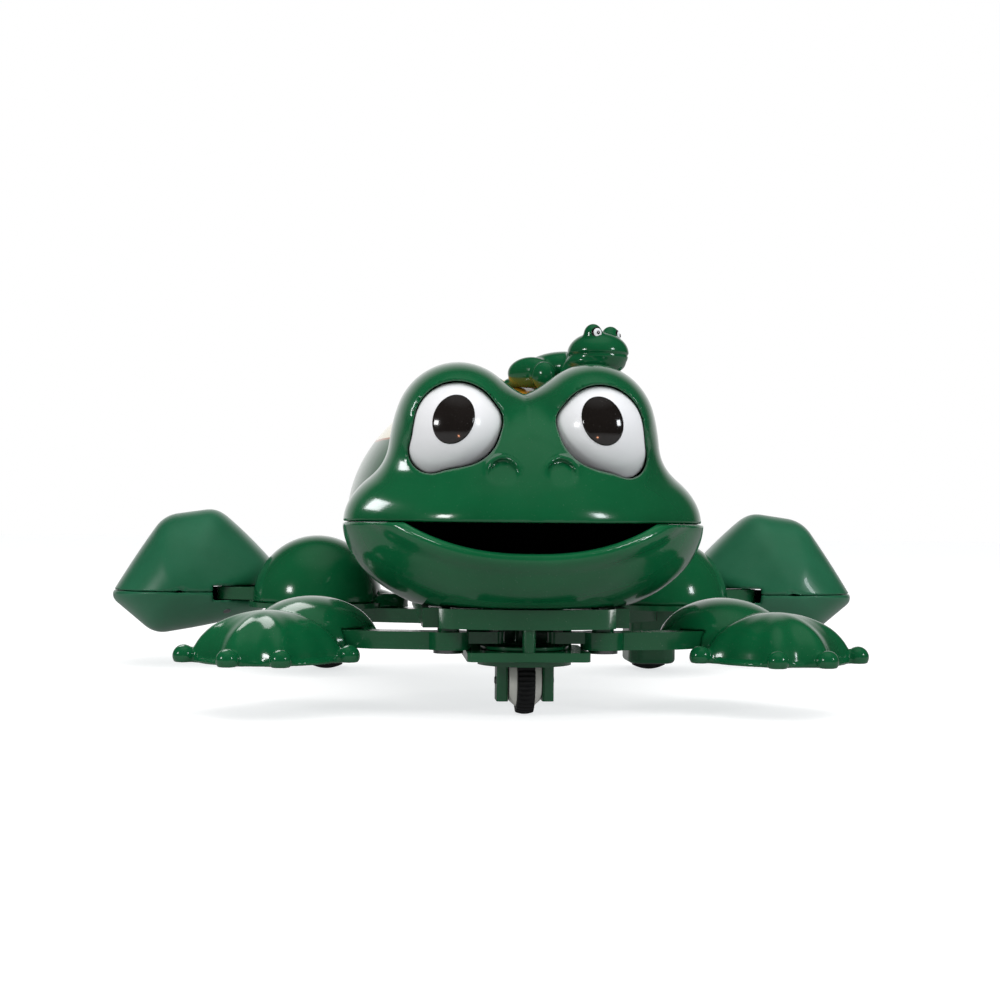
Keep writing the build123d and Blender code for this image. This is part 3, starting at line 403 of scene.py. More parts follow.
def matte(name, dark, light, rough, shine=0.25):
    """Dull plastic with drifting colour and a fine grain."""
    n = Nodes(name)
    n.set(Base_Color=n.mix(n.noise(160, 4), dark, light))
    n.set(Roughness=n.ramp(n.noise(90), 0.3, 0.7, rough - 0.06, rough + 0.06))
    n.set(Normal=n.bump(n.noise(700, 3), 0.08, 0.0003), Specular_IOR_Level=shine)
    return n.material


def metal(name, dark, light, rough):
    """Bright metal with fine drawn streaks along X, and faint tarnish."""
    n = Nodes(name)
    stretched = n.add("ShaderNodeMapping", Vector=n.coords, Scale=(1.0, 14.0, 14.0)).outputs[0]
    streaks = n.add("ShaderNodeTexNoise", Vector=stretched, Scale=400.0, Detail=3.0).outputs["Fac"]
    n.set(Base_Color=n.mix(n.noise(120, 4), dark, light), Metallic=1.0)
    n.set(Roughness=n.ramp(streaks, 0.3, 0.7, rough - 0.08, rough + 0.1), Normal=n.bump(streaks, 0.1, 0.0002))
    return n.material


SHELL = gloss_plastic("shell_green", GREEN_DARK, GREEN_LIGHT).material
CHASSIS = gloss_plastic("chassis_green", linear(9, 76, 43), linear(13, 86, 50), rough=0.17).material
BACK = painted_back()
WHITE = gloss_plastic("eye_white", linear(240, 241, 244), linear(248, 248, 250), rough=0.16, coat=0.1).material
PUPIL_INK = gloss_plastic("pupil_black", linear(20, 17, 15), linear(30, 26, 24), rough=0.1, coat=0.5).material
# Near-black green with hardly any gloss for the cup behind the mouth: painted shade in the mouth's hollow.
MOUTH_SHADE = matte("mouth_dark", linear(3, 12, 8), linear(5, 17, 12), 0.7, shine=0.05)
# The shell's green plastic, painted lighter for the feet: painted light, not a different plastic. It is also a
# little rougher.
FOOT_LIT_GREEN = gloss_plastic("foot_lit_green", linear(26, 98, 66), linear(38, 110, 78), rough=0.3).material
HUB = matte("hub_grey", linear(186, 186, 178), linear(212, 211, 204), 0.4)
TYRE = rubber("tyre_black")
STEEL = metal("steel", (0.16, 0.16, 0.165, 1), (0.30, 0.30, 0.30, 1), 0.34)
BRASS = metal("brass", (0.55, 0.38, 0.14, 1), (0.75, 0.56, 0.25, 1), 0.28)
SPRING = metal("spring_steel", (0.06, 0.08, 0.14, 1), (0.14, 0.16, 0.22, 1), 0.3)
NYLON = matte("white_plastic", linear(150, 152, 146), linear(172, 174, 168), 0.5)
SLOT_MATERIALS = {
    "shell_green": SHELL, "chassis_green": CHASSIS, "eye_white": WHITE, "pupil_black": PUPIL_INK,
    "mouth_dark": MOUTH_SHADE, "hub_grey": HUB, "tyre_black": TYRE, "steel": STEEL, "brass": BRASS,
    "spring_steel": SPRING, "white_plastic": NYLON,
}


# ---- Head ---------------------------------------------------------------------------------------
def turned(p):
    """Points in the head's own frame: it sits turned a little towards the frog's right."""
    c, s = math.cos(HEAD_TURN), math.sin(HEAD_TURN)
    x, y = p[:, 0], p[:, 1] - MUZZLE[1]
    return np.stack([x * c - y * s, MUZZLE[1] + y * c + x * s, p[:, 2]], 1)


def head_outer(p):
    """The upper head's outside: brows, bridge, snout and cheeks blended together."""
    folded = mirrored(p)
    brow = join(5, ellipsoid(folded, BROW, BROW_HALF), ellipsoid(folded, BROW_FOOT, BROW_FOOT_HALF))
    face = join(3.5, ellipsoid(p, MUZZLE, MUZZLE_HALF), ellipsoid(p, CHEEK, CHEEK_HALF))
    face = join(8, face, ellipsoid(p, SNOUT, SNOUT_HALF))
    return join(6, join(8, brow, ellipsoid(p, BRIDGE, BRIDGE_HALF)), face)


def eye_outline(p):
    """Distance outside the eye opening, seen from the front."""
    x, z = np.abs(p[:, 0]), p[:, 2] + EYE_TILT * p[:, 0]
    return join(2.5, capsule(x, z, EYE_LOWER, EYE_MIDDLE), capsule(x, z, EYE_MIDDLE, EYE_INNER))


def socket_field(p):
    """The room for the eye: in front of a plane well behind the face."""
    return np.maximum(eye_outline(p), p[:, 1] - (MUZZLE[1] - 12))


def body_field(p, grow):
    """The body's outer shape, grown a little, which the head and the baby are cut back to."""
    upper = ellipsoid(p, BODY, BODY_UP + grow)
    lower = ellipsoid(p, BODY, BODY_DOWN + grow)
    return np.where(p[:, 2] > SEAM, upper, lower)


def head_field(p):
    """The upper head: under each nostril's raised arch the skin dips, and the dip fades out below."""
    q = turned(p)
    outer = head_outer(q)
    across, up = np.abs(q[:, 0]) - NOSTRIL_X, q[:, 2] - SEAM - NOSTRIL_Z
    away = np.hypot(across, up)
    front = q[:, 1] < MUZZLE[1] - 20
    dip = NOSTRIL_DIP * np.clip((NOSTRIL_R + 0.4 - away) / 0.9, 0, 1) * np.clip((up + 4) / 6, 0, 1) * front
    arch = NOSTRIL_ARCH * np.clip((up + 0.5) / 3, 0, 1) * front
    rim = np.hypot(away - NOSTRIL_R - 0.5, outer) - arch + 3 * np.clip(-(up + 0.5) / 2, 0, 1)
    skin = join(0.9, outer + dip, rim)
    shell = cut(0.5, skin, outer + WALL)
    shell = cut(0.9, shell, socket_field(q))
    shell = cut(0.5, shell, body_field(p, BODY_CLEARANCE))
    return meet(0.3, shell, groove(outer, p[:, 2], 1))


def jaw_outer(p):
    """The lower jaw's outside: a bowl with a flat bottom."""
    return meet(2.0, ellipsoid(p, MUZZLE, JAW_HALF), FLOOR - p[:, 2])


def mouth_field(p):
    """Distance below the mouth's lower edge: a smile that runs up to a point at each corner."""
    u = np.abs(p[:, 0]) / MOUTH_HALF_WIDTH
    edge = SEAM - MOUTH_DEPTH * (1 - u**2.4)
    rise = MOUTH_DEPTH * 2.4 * u**1.4 / MOUTH_HALF_WIDTH
    return (edge - p[:, 2]) / np.sqrt(1 + rise**2)


def jaw_field(p):
    """The lower jaw, with a turned-out lip along the mouth."""
    q = turned(p)
    outer = jaw_outer(q)
    mouth = mouth_field(q)
    forward = q[:, 1] - MUZZLE[1]
    lip = np.where(forward < 0, np.hypot(mouth - LIP_R * 0.85, outer + LIP_R * 0.45) - LIP_R, 9)
    shell = cut(0.5, outer, outer + WALL)
    shell = join(1.4, cut(1.2, shell, np.maximum(mouth - LIP_R * 0.8, forward)), lip)
    shell = cut(0.5, shell, body_field(p, BODY_CLEARANCE))
    return meet(0.3, shell, groove(outer, p[:, 2], -1))


def liner_field(p):
    """A cup behind the mouth, open at the front, its edge just inside the shells, coloured near-black: painted
    shade in the mouth's hollow.
    """
    q = turned(p)
    across, up = np.abs(q[:, 0]) / LINER_HALF[0], np.abs(q[:, 2] - SEAM) / LINER_HALF[1]
    sides = ((across**4 + up**4 + 1e-9) ** 0.25 - 1) * LINER_HALF[1]
    back = q[:, 1] - (MUZZLE[1] + 4)
    cup = np.maximum(np.maximum(sides, back), -np.maximum(sides, back) - LINER_WALL)
    skin = np.where(q[:, 2] > SEAM, head_outer(q), jaw_outer(q))
    return np.maximum(cup, skin + WALL + 0.4)


def build_head():
    low, high = (HEAD_LOW[0], HEAD_LOW[1], SEAM - 1), (HEAD_HIGH[0], -46, HEAD_HIGH[2] + 2)
    moulded("head_skin", head_field, low, high, 0.85, "chassis", SHELL, ["head_shell"], near_z=NEAR_SEAM)
    low, high = (JAW_LOW[0], JAW_LOW[1] - 2, FLOOR - 1), (JAW_HIGH[0], JAW_HIGH[1] + 1, SEAM + 1)
    moulded("jaw_skin", jaw_field, low, high, 0.85, "chassis", SHELL, ["jaw_shell"], near_z=NEAR_SEAM)
    wide, tall = LINER_HALF[0] + 1, LINER_HALF[1] + 1
    low, high = MUZZLE - [wide, MUZZLE_HALF_LENGTH, tall], MUZZLE + [wide, 6, tall]
    moulded("mouth_shade_skin", liner_field, low, high, 0.7, "chassis", MOUTH_SHADE, ["mouth_liner"], slot="mouth_dark")


def white_field(p):
    """The white of both eyes, just inside the face and the shape of the eye openings."""
    p = turned(p)
    ball = ellipsoid(mirrored(p), EYEBALL, EYEBALL_HALF)
    corner = ellipsoid(mirrored(p), BROW_FOOT, EYE_CORNER_HALF)
    return meet(0.5, join(3, ball, corner), eye_outline(p) + 0.25, p[:, 1] - (MUZZLE[1] - 11))


def pupil_field(p, name):
    """A tilted oval insert, its face a little proud of the white."""
    p = turned(p)
    lean = PUPIL_LEAN * SIDES[name]
    dx, dz = p[:, 0] - PUPIL_SPOTS[name][0], p[:, 2] - PUPIL_SPOTS[name][1]
    u, v = dx * math.cos(lean) - dz * math.sin(lean), dx * math.sin(lean) + dz * math.cos(lean)
    oval = ellipsoid(np.stack([u, v], 1), 0, PUPIL_HALF)
    ball = ellipsoid(mirrored(p), EYEBALL, EYEBALL_HALF + PUPIL_PROUD)
    return meet(0.35, oval, ball, p[:, 1] - (MUZZLE[1] - 24))


def build_eyes():
    for name, side in SIDES.items():
        low, high = side_range((6, -118, 70), (38, -90, 104), side)
        moulded(
            f"{name}_eyeball", white_field, low, high, 0.6,
            "chassis", WHITE, [f"{name}_eye_white"], slot="eye_white",
        )
        low, high = side_range((15, -118, 80), (31, -104, 100), side)
        moulded(
            f"{name}_iris", lambda p, name=name: pupil_field(p, name), low, high, 0.4,
            "chassis", PUPIL_INK, [f"{name}_pupil"], slot="pupil_black",
        )


# ---- Body shells --------------------------------------------------------------------------------
KNOB_LOW, KNOB_HIGH = span("winding_knob")
KNOB = (KNOB_LOW + KNOB_HIGH) / 2
KNOB_R = (KNOB_HIGH[2] - KNOB_LOW[2]) / 2
KNOB_FACE = KNOB_HIGH[0] - 2.8
KNOB_FLUTES, FLUTE_DEPTH = 22, 0.5
# The slot in the belly for the drive slider: its middle and half-size in plan.
SLOT_MIDDLE = (span("drive_slider")[1][0] - 1, 0)
SLOT_HALF = (2.2, 9.5)


def back_field(p):
    """The back, with a recess for the knob and a hole for its arbor."""
    outer = ellipsoid(p, BODY, BODY_UP)
    cup_floor = KNOB_LOW[0] - 1
    off_axis = np.hypot(p[:, 1] - KNOB[1], p[:, 2] - KNOB[2])
    cup = np.maximum(off_axis - (KNOB_R + 3.3), (cup_floor - 2) - p[:, 0])
    shell = cut(0.5, outer, np.maximum(outer + WALL, -cup))
    shell = cut(0.8, shell, np.maximum(off_axis - (KNOB_R + 1.5), cup_floor - p[:, 0]))
    shell = cut(0.3, shell, np.maximum(off_axis - 2, -p[:, 0]))
    shell = meet(0.5, shell, BACK_LOW[1] - p[:, 1])
    return meet(0.3, shell, groove(outer, p[:, 2], 1))


def belly_field(p):
    """The belly: a flat-bottomed bowl, with a slot for the drive slider."""
    outer = meet(2.0, ellipsoid(p, BODY, BODY_DOWN), FLOOR - p[:, 2])
    shell = cut(0.5, outer, outer + WALL)
    shell = cut(0.3, shell, plan_box(p, SLOT_MIDDLE, SLOT_HALF))
    shell = meet(0.5, shell, BELLY_LOW[1] - p[:, 1])
    return meet(0.3, shell, groove(outer, p[:, 2], -1))


def knob_field(p):
    """A fluted knob turned about X, with a soft outer edge."""
    dy, dz = p[:, 1] - KNOB[1], p[:, 2] - KNOB[2]
    flute = FLUTE_DEPTH * np.cos(KNOB_FLUTES * np.arctan2(dz, dy))
    rim = np.hypot(dy, dz) - (KNOB_R - FLUTE_DEPTH + flute)
    return meet(2.6, rim, p[:, 0] - KNOB_FACE, KNOB_LOW[0] - p[:, 0])


def build_body():
    low = (BACK_LOW[0], BACK_LOW[1] - 1, SEAM - 1)
    moulded("back_skin", back_field, low, BACK_HIGH, 1.1, "chassis", BACK, ["back_shell"], near_z=NEAR_SEAM)
    low, high = (BELLY_LOW[0], BELLY_LOW[1] - 1, FLOOR - 1), (BELLY_HIGH[0], BELLY_HIGH[1], SEAM + 1)
    moulded("belly_skin", belly_field, low, high, 1.2, "chassis", SHELL, ["belly_shell"], near_z=NEAR_SEAM)
    moulded("knob_skin", knob_field, KNOB_LOW - 1, KNOB_HIGH + 1, 0.45, "winder", SHELL, ["winding_knob"])


# ---- Hands, thighs and feet ---------------------------------------------------------------------
HAND_LOW, HAND_HIGH = span("left_hand_shell")
ARM_LOW, ARM_HIGH = span("left_arm_bar")
HAND_BASE = HAND_LOW[2] - 0.6
HAND = np.array([79.5, -91, HAND_BASE])
HAND_HALF = np.array([21.5, 22, 15.8])
FOREARM = np.array([66.5, -72, ARM_LOW[2]])
FOREARM_HALF = np.array([21.4, 22, HAND_HIGH[2] - 0.5 - FOREARM[2]])
TOE_ANGLES = [math.radians(a) for a in (-169, -102, -66, -11)]
TOE_RING, TOE_R = 25.5, 3.4
# Low on the hand: how far a toe's ridge rises, its spread in radians, and how far the web sinks.
RIDGE_RISE, RIDGE_SPREAD, WEB_SINK = 3.5, 0.22, 1.4
TOES = [HAND + [TOE_RING * math.cos(a), TOE_RING * math.sin(a), 2] for a in TOE_ANGLES]
# The middle of the arm bar in plan, from the body outwards, and its half-width.
ARM_PATH, ARM_HALF_WIDTH = [(24, -95), (46, -91), (66, -78)], 4.8


def hand_field(p):
    """A domed hand with soft ridges running down to four toe beads, and a forearm dome behind it."""
    dx, dy = p[:, 0] - HAND[0], p[:, 1] - HAND[1]
    angle, rise = np.arctan2(dy, dx), p[:, 2] - HAND_BASE
    ridge = sum(np.exp(-(np.angle(np.exp(1j * (angle - a))) / RIDGE_SPREAD) ** 2) for a in TOE_ANGLES)
    low_down = np.clip(1.15 - rise / 15.5, 0, 1) * np.clip((plan_away(p, HAND) - 5) / 12, 0, 1)
    hand = ellipsoid(p, HAND, HAND_HALF)
    fore = np.maximum(ellipsoid(p, FOREARM, FOREARM_HALF), FOREARM[2] - p[:, 2])
    outer = np.minimum(hand - (RIDGE_RISE * ridge - WEB_SINK) * low_down, fore)
    inner = np.minimum(hand + 0.9, fore) + 1.8
    flange = np.maximum(plan_away(p, HAND) - (TOE_RING - TOE_R), rise - 1.2)
    solid = join(0.8, outer, flange)
    solid = join(0.9, solid, *[np.linalg.norm(p - toe, axis=1) - TOE_R for toe in TOES])
    shell = cut(0.4, solid, inner)
    path = [(*at, ARM_HALF_WIDTH) for at in ARM_PATH]
    bar = join(0.1, *[capsule(p[:, 0], p[:, 1], a, b) for a, b in zip(path, path[1:])])
    bar = np.maximum(bar, outside(p[:, 2], ARM_LOW[2] - 0.2, ARM_HIGH[2] + 0.2))
    shell = cut(0.3, shell, bar)
    return meet(0.5, shell, HAND_BASE - p[:, 2])


THIGH_LOW, THIGH_HIGH = span("left_thigh_shell")
THIGH = np.array([(THIGH_LOW[0] + THIGH_HIGH[0]) / 2, (THIGH_LOW[1] + THIGH_HIGH[1]) / 2, THIGH_LOW[2]])
THIGH_HALF = (THIGH_HIGH - THIGH_LOW) / [2, 2, 1]
FRAME_TOP = span("left_thigh_frame")[1][2]
THIGH_WALL = 2
# The knee tab leaves the dome through a slot: its middle, turn and half-size in plan.
TAB_AT, TAB_TURN, TAB_HALF = (96, 70), math.radians(22), (17, 4.8)
# The round inner end of the thigh frame, and the low leaf that covers it beside the dome.
LOBE_AT, LOBE_R, LOBE_RISE = (43, 57), 9.7, 3.7
HIP, HIP_HALF = np.array([56.5, 57, 24]), np.array([24, 15, 10.4])


def thigh_field(p):
    """A dome with room under it for the thigh frame, and a leaf towards the hip."""
    dome = ellipsoid(p, THIGH, THIGH_HALF)
    shell = cut(0.5, dome, dome + THIGH_WALL)
    c, s = math.cos(TAB_TURN), math.sin(TAB_TURN)
    dx, dy = p[:, 0] - TAB_AT[0], p[:, 1] - TAB_AT[1]
    sides = np.maximum(np.abs(dx * c + dy * s) - TAB_HALF[0], np.abs(dy * c - dx * s) - TAB_HALF[1])
    tab = np.maximum(sides, p[:, 2] - (FRAME_TOP + 0.2))
    lobe = np.maximum(plan_away(p, LOBE_AT) - LOBE_R, p[:, 2] - (THIGH_LOW[2] + LOBE_RISE))
    shell = meet(0.6, cut(0.3, shell, tab, lobe), THIGH_LOW[2] - p[:, 2])
    hip = meet(0.4, ellipsoid(p, HIP, HIP_HALF), ARM_HIGH[2] + 0.02 - p[:, 2])
    return np.minimum(shell, np.maximum(hip, -dome - 1.2))


FOOT_LOW, FOOT_HIGH = span("left_foot_lower")[0], span("left_foot_upper")[1]
FOOT_SEAM = span("left_foot_upper")[0][2]
FOOT_SEAM_GAP, FOOT_WALL = 0.3, 2
KNEE, KNEE_BOSS_R = (106, 74), 3.4
# The room in the foot for the knee tab: its middle and half-size in plan, and its two levels.
ROOM_AT, ROOM_HALF, ROOM_Z = (KNEE[0] - 12, KNEE[1] - 7), (17, 14), (THIGH_LOW[2] - 0.4, FRAME_TOP + 0.4)
PIN_LOW, PIN_HIGH = span("left_knee_pin")
KNEE_PIN_R = (PIN_HIGH[0] - PIN_LOW[0]) / 2
FOOT_MIDDLE = np.array([124.0, 33.0])
# The foot's outline from the front: corners as (x, z) from its middle.
FOOT_CORNERS = [
    (31, -4.8), (22.5, 11), (9.5, 28.6), (-12.5, 31.8), (-18.5, 27.5),
    (-36, 8.5), (-32, -11), (-22, -14.5), (12.8, -20.5),
]
# The foot's front end, fullest section and rear end.
FOOT_Y = (63.5, 94, 130)


def foot_shape(p, inset):
    """A webbed foot: a rounded gem from the front, thinning to a ridge at its front and rear ends."""
    front_y, full_y, rear_y = FOOT_Y
    half_y = np.where(p[:, 1] < full_y, full_y - front_y, rear_y - full_y) - inset
    t = np.clip(np.abs(p[:, 1] - full_y) / half_y, 0, 0.999)
    wide, tall = (1 - t**2.4) ** 0.45, (1 - t**2.0) ** 0.62
    front = np.clip((full_y - p[:, 1]) / 30, 0, 1)
    x = (p[:, 0] - FOOT_MIDDLE[0] - 0.5 * front) / wide
    z = (p[:, 2] - FOOT_SEAM) / tall + FOOT_SEAM - FOOT_MIDDLE[1]
    sides = []
    for (x0, z0), (x1, z1) in zip(FOOT_CORNERS, FOOT_CORNERS[1:] + FOOT_CORNERS[:1]):
        length = math.hypot(x1 - x0, z1 - z0)
        sides.append(((x - x0) * (z0 - z1) + (z - z0) * (x1 - x0)) / -length + inset)
    return meet(4.0, *sides) * np.minimum(wide, tall)


def foot_field(p, upper):
    """One half of the hollow foot, with room for the knee tab and a boss round the pin."""
    outer = foot_shape(p, 0)
    shell = cut(0.4, outer, foot_shape(p, FOOT_WALL))
    shell = cut(0.4, shell, np.maximum(plan_box(p, ROOM_AT, ROOM_HALF), outside(p[:, 2], *ROOM_Z)))
    boss = np.maximum(plan_away(p, KNEE) - KNEE_BOSS_R, outer + 1)
    sign = 1 if upper else -1
    boss = np.maximum(boss, sign * (ROOM_Z[upper] - p[:, 2]))
    return meet(0.5, np.minimum(shell, boss), FOOT_SEAM_GAP / 2 - sign * (p[:, 2] - FOOT_SEAM))


def knee_pin_field(p):
    """The knee's steel pin, its ends flush with the foot's skin."""
    shank = plan_away(p, KNEE) - KNEE_PIN_R
    return meet(0.4, shank, foot_shape(p, 0) - 0.35, PIN_LOW[2] - p[:, 2], p[:, 2] - PIN_HIGH[2])


def build_limbs():
    for name, side in SIDES.items():
        low, high = side_range(HAND_LOW - 1, HAND_HIGH + 1, side)
        moulded(
            f"{name}_hand_skin", flipped(hand_field, side), low, high, 0.75,
            f"{name}_arm", SHELL, [f"{name}_hand_shell"],
        )
        leaf_low = np.minimum(THIGH_LOW, [33, THIGH_LOW[1], ARM_HIGH[2]])
        low, high = side_range(leaf_low - 1, THIGH_HIGH + 1, side)
        moulded(
            f"{name}_thigh_skin", flipped(thigh_field, side), low, high, 0.9,
            f"{name}_thigh", SHELL, [f"{name}_thigh_shell"],
        )
        low, high = side_range(PIN_LOW - 0.5, PIN_HIGH + 0.5, side)
        moulded(
            f"{name}_knee_pin_skin", flipped(knee_pin_field, side), low, high, 0.3,
            f"{name}_thigh", STEEL, [f"{name}_knee_pin"], slot="steel",
        )
        for part, upper in (("upper", True), ("lower", False)):
            z = (FOOT_SEAM - 1, FOOT_HIGH[2] + 2) if upper else (FOOT_LOW[2] - 2, FOOT_SEAM + 1)
            low, high = side_range((84, FOOT_Y[0], z[0]), (158, FOOT_Y[2], z[1]), side)
            field = flipped(lambda p, upper=upper: foot_field(p, upper), side)
            moulded(
                f"{name}_foot_{part}_skin", field, low, high, 1.0,
                f"{name}_foot", FOOT_LIT_GREEN, [f"{name}_foot_{part}"], near_z=(FOOT_SEAM, 2.0, 0.35),
            )


# ---- Baby frog ----------------------------------------------------------------------------------
BABY_TURN = math.radians(45)
BABY_AT = np.array([16, -50, 105.2])
# The baby's ellipsoids, facing -Y: (centre, half-axes). The head and body, then the lower jaw, then
# those in pairs: eye bumps, haunches, knees, forelegs and feet.
BABY_MIDDLE = [((0, -14.5, 10.6), (10.1, 10.2, 7.1)), ((0, 1.5, 6.2), (7.4, 15, 6))]
BABY_JAW = ((0, -13.5, 7.6), (10.4, 9.8, 4.4))
BABY_PAIRS = [
    ((4.7, -16, 16.4), (3.1, 3.1, 3.5)),
    ((7.6, 8.5, 5.0), (4.4, 9, 5.2)),
    ((10, 0.5, 3.4), (3.2, 4.4, 4.6)),
    ((6.8, -8.5, 3.6), (2.7, 4.0, 4.6)),
    ((5.8, 16, 2.0), (3.2, 5, 2)),
]


def baby_local(p):
    """World points in the baby's own frame."""
    q = p - BABY_AT
    c, s = math.cos(BABY_TURN), math.sin(BABY_TURN)
    return np.stack([q[:, 0] * c + q[:, 1] * s, q[:, 1] * c - q[:, 0] * s, q[:, 2]], 1)


def baby_field(p):
    """The baby frog, with a groove for its mouth, sitting on the back."""
    q = baby_local(p)
    whole = join(1.6, *[ellipsoid(q, *np.array(shape)) for shape in BABY_MIDDLE])
    whole = join(0.5, whole, ellipsoid(q, *np.array(BABY_JAW)))
    whole = join(1.2, whole, *[ellipsoid(mirrored(q), *np.array(shape)) for shape in BABY_PAIRS])
    lips = np.hypot(q[:, 2] - 9.9, whole) - 0.35
    whole = cut(0.5, whole, np.where(q[:, 1] < -9, lips, 9))
    return cut(0.5, whole, body_field(p, 0.1))


def baby_eye_field(p, reach, proud):
    """A round patch on the front of each of the baby's eye bumps."""
    q = mirrored(baby_local(p))
    centre, half = (np.array(v) for v in BABY_PAIRS[0])
    look = np.array([0.36, -0.92, 0.12])
    look /= np.linalg.norm(look)
    away = q - centre
    ahead = away @ look
    around = np.linalg.norm(away - ahead[:, None] * look, axis=1)
    return meet(0.12, around - reach, ellipsoid(q, centre, half) - proud, 0.8 - ahead)


def build_baby():
    low, high = span("baby_frog")
    moulded("baby_skin", baby_field, low - 1, high + 1, 0.42, "chassis", SHELL, ["baby_frog"])
    low, high = span("baby_eyes")
    patches = [
        ("baby_eye_rims", 2.0, 0.16, PUPIL_INK, "pupil_black", []),
        ("baby_eyeballs", 1.5, 0.32, WHITE, "eye_white", ["baby_eyes"]),
        ("baby_irises", 0.62, 0.46, PUPIL_INK, "pupil_black", []),
    ]
    for name, reach, proud, material, slot, nodes in patches:
        field = lambda p, reach=reach, proud=proud: baby_eye_field(p, reach, proud)
        moulded(name, field, low - 3, high + 3, 0.2, "chassis", material, nodes, slot=slot)


# ---- Ribbed tyres -------------------------------------------------------------------------------
def ribbed_ring(name, node, body, ribs, depth, crown, seat):
    """A tyre turned about X with ribs across its tread, made by sweeping a closed section round."""
    low, high = span(node)
    centre, radius, half = (low + high) / 2, (high[2] - low[2]) / 2, (high[0] - low[0]) / 2
    across, around, bevel = 12, ribs * 8, 0.35
    # The section, as (x, radius, how deep the ribs are cut).
    tread = [(u * half, radius - crown * u * u, depth) for u in (2 * i / across - 1 for i in range(across + 1))]
    shoulder, shallow = radius - crown - bevel, 0.4 * depth
    section = [
        (-half, seat, 0), (-half, shoulder, shallow), *tread, (half, shoulder, shallow), (half, seat, 0),
    ]
    points, faces = [], []
    for i, (x, r, cut_depth) in enumerate(section):
        after = (i + 1) % len(section)
        for j in range(around):
            angle = math.tau * j / around
            out = r - cut_depth * (0.5 - 0.5 * math.cos(ribs * angle)) ** 3
            points.append((x, out * math.cos(angle), out * math.sin(angle)))
            k = (j + 1) % around
            faces.append((i * around + j, i * around + k, after * around + k, after * around + j))
    piece = new_object(name, np.array(points) + centre, np.array(faces))
    bm = bmesh.new()
    bm.from_mesh(piece.data)
    bmesh.ops.recalc_face_normals(bm, faces=bm.faces)
    bm.to_mesh(piece.data)
    bm.free()
    return place(piece, body, TYRE, "tyre_black", node)


def build_tyres():
    ribbed_ring("front_tread", "front_tyre", "front_wheel", 40, 0.55, 0.5, 7.4)
    for name in SIDES:
        ribbed_ring(f"{name}_roller_tread", f"{name}_roller_tyre", f"{name}_roller", 34, 0.6, 1.6, 6.5)


# ---- CAD pieces with rounded edges --------------------------------------------------------------
def refine(node, material, slot, radius):
    """A copy of a CAD node's mesh with its flats merged and its edges rounded."""
    source = frame["nodes"][node]
    bm = bmesh.new()
    bm.from_mesh(source.data)
    bmesh.ops.remove_doubles(bm, verts=bm.verts, dist=1e-6)
    bmesh.ops.dissolve_limit(bm, angle_limit=math.radians(1.5), verts=bm.verts, edges=bm.edges)
    sharp = [e for e in bm.edges if len(e.link_faces) == 2 and e.calc_face_angle(0) > math.radians(32)]
    bmesh.ops.bevel(
        bm, geom=sharp, offset=radius * MM, offset_type="OFFSET", segments=2, profile=0.5,
        affect="EDGES", clamp_overlap=True,
    )
    for face in bm.faces:
        face.smooth = True
    mesh = bpy.data.meshes.new(f"{node}_finished")
    bm.to_mesh(mesh)
    bm.free()
    piece = bpy.data.objects.new(f"{node}_finished", mesh)
    bpy.context.scene.collection.objects.link(piece)
    weighted = piece.modifiers.new("even_normals", "WEIGHTED_NORMAL")
    weighted.keep_sharp = False
    return place(piece, source["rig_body"], material, slot, node)


# The nodes that get rounded edges, and the radius in millimetres.
REFINED = {
    "chassis_pan": 0.35, "steering_plate": 0.35, "front_fork": 0.25, "fork_keeper": 0.15, "front_hub": 0.25,
    "left_arm_bar": 0.35, "right_arm_bar": 0.35, "left_thigh_frame": 0.35, "right_thigh_frame": 0.35,
    "left_roller_hub": 0.2, "right_roller_hub": 0.2,
}


def dress_cad():
    """Gives every CAD piece still in view its material, and the REFINED ones rounded edges too."""
    slots = {row["node"]: row["material_slot"] for row in frame["record"]["subparts"]}
    for node, piece in frame["nodes"].items():
        if piece.hide_render:
            continue
        slot = slots[node]
        material = SLOT_MATERIALS[slot]
        if node in REFINED:
            refine(node, material, slot, REFINED[node])
            continue
        piece.data.materials.clear()
        piece.data.materials.append(material)


# ---- Studio, in metres --------------------------------------------------------------------------
def build_floor():
    """A wide sheet of white paper, brighter to the camera than in reflections of it."""
    reach = 6.0
    corners = [(x * reach, y * reach, 0) for x, y in ((-1, -1), (1, -1), (1, 1), (-1, 1))]
    mesh = bpy.data.meshes.new("floor")
    mesh.from_pydata(corners, [], [(0, 1, 2, 3)])
    floor = bpy.data.objects.new("floor", mesh)
    bpy.context.scene.collection.objects.link(floor)
    n = Nodes("floor_paper")
    ray = n.add("ShaderNodeLightPath")
    seen = ray.outputs["Is Camera Ray"]
    scattered = n.math("MULTIPLY", ray.outputs["Is Diffuse Ray"], 0.25)
    glow = n.math("ADD", n.math("MULTIPLY", seen, 0.62), scattered)
    paper = n.mix(n.noise(6, 2), (0.50, 0.49, 0.48, 1), (0.52, 0.51, 0.50, 1))
    n.set(Base_Color=n.mix(seen, (0.27, 0.27, 0.27, 1), paper), Roughness=0.85, Specular_IOR_Level=0.1)
    n.set(Emission_Color=(0.97, 0.985, 1.0, 1), Emission_Strength=n.math("ADD", glow, 0.1))
    floor.data.materials.append(n.material)


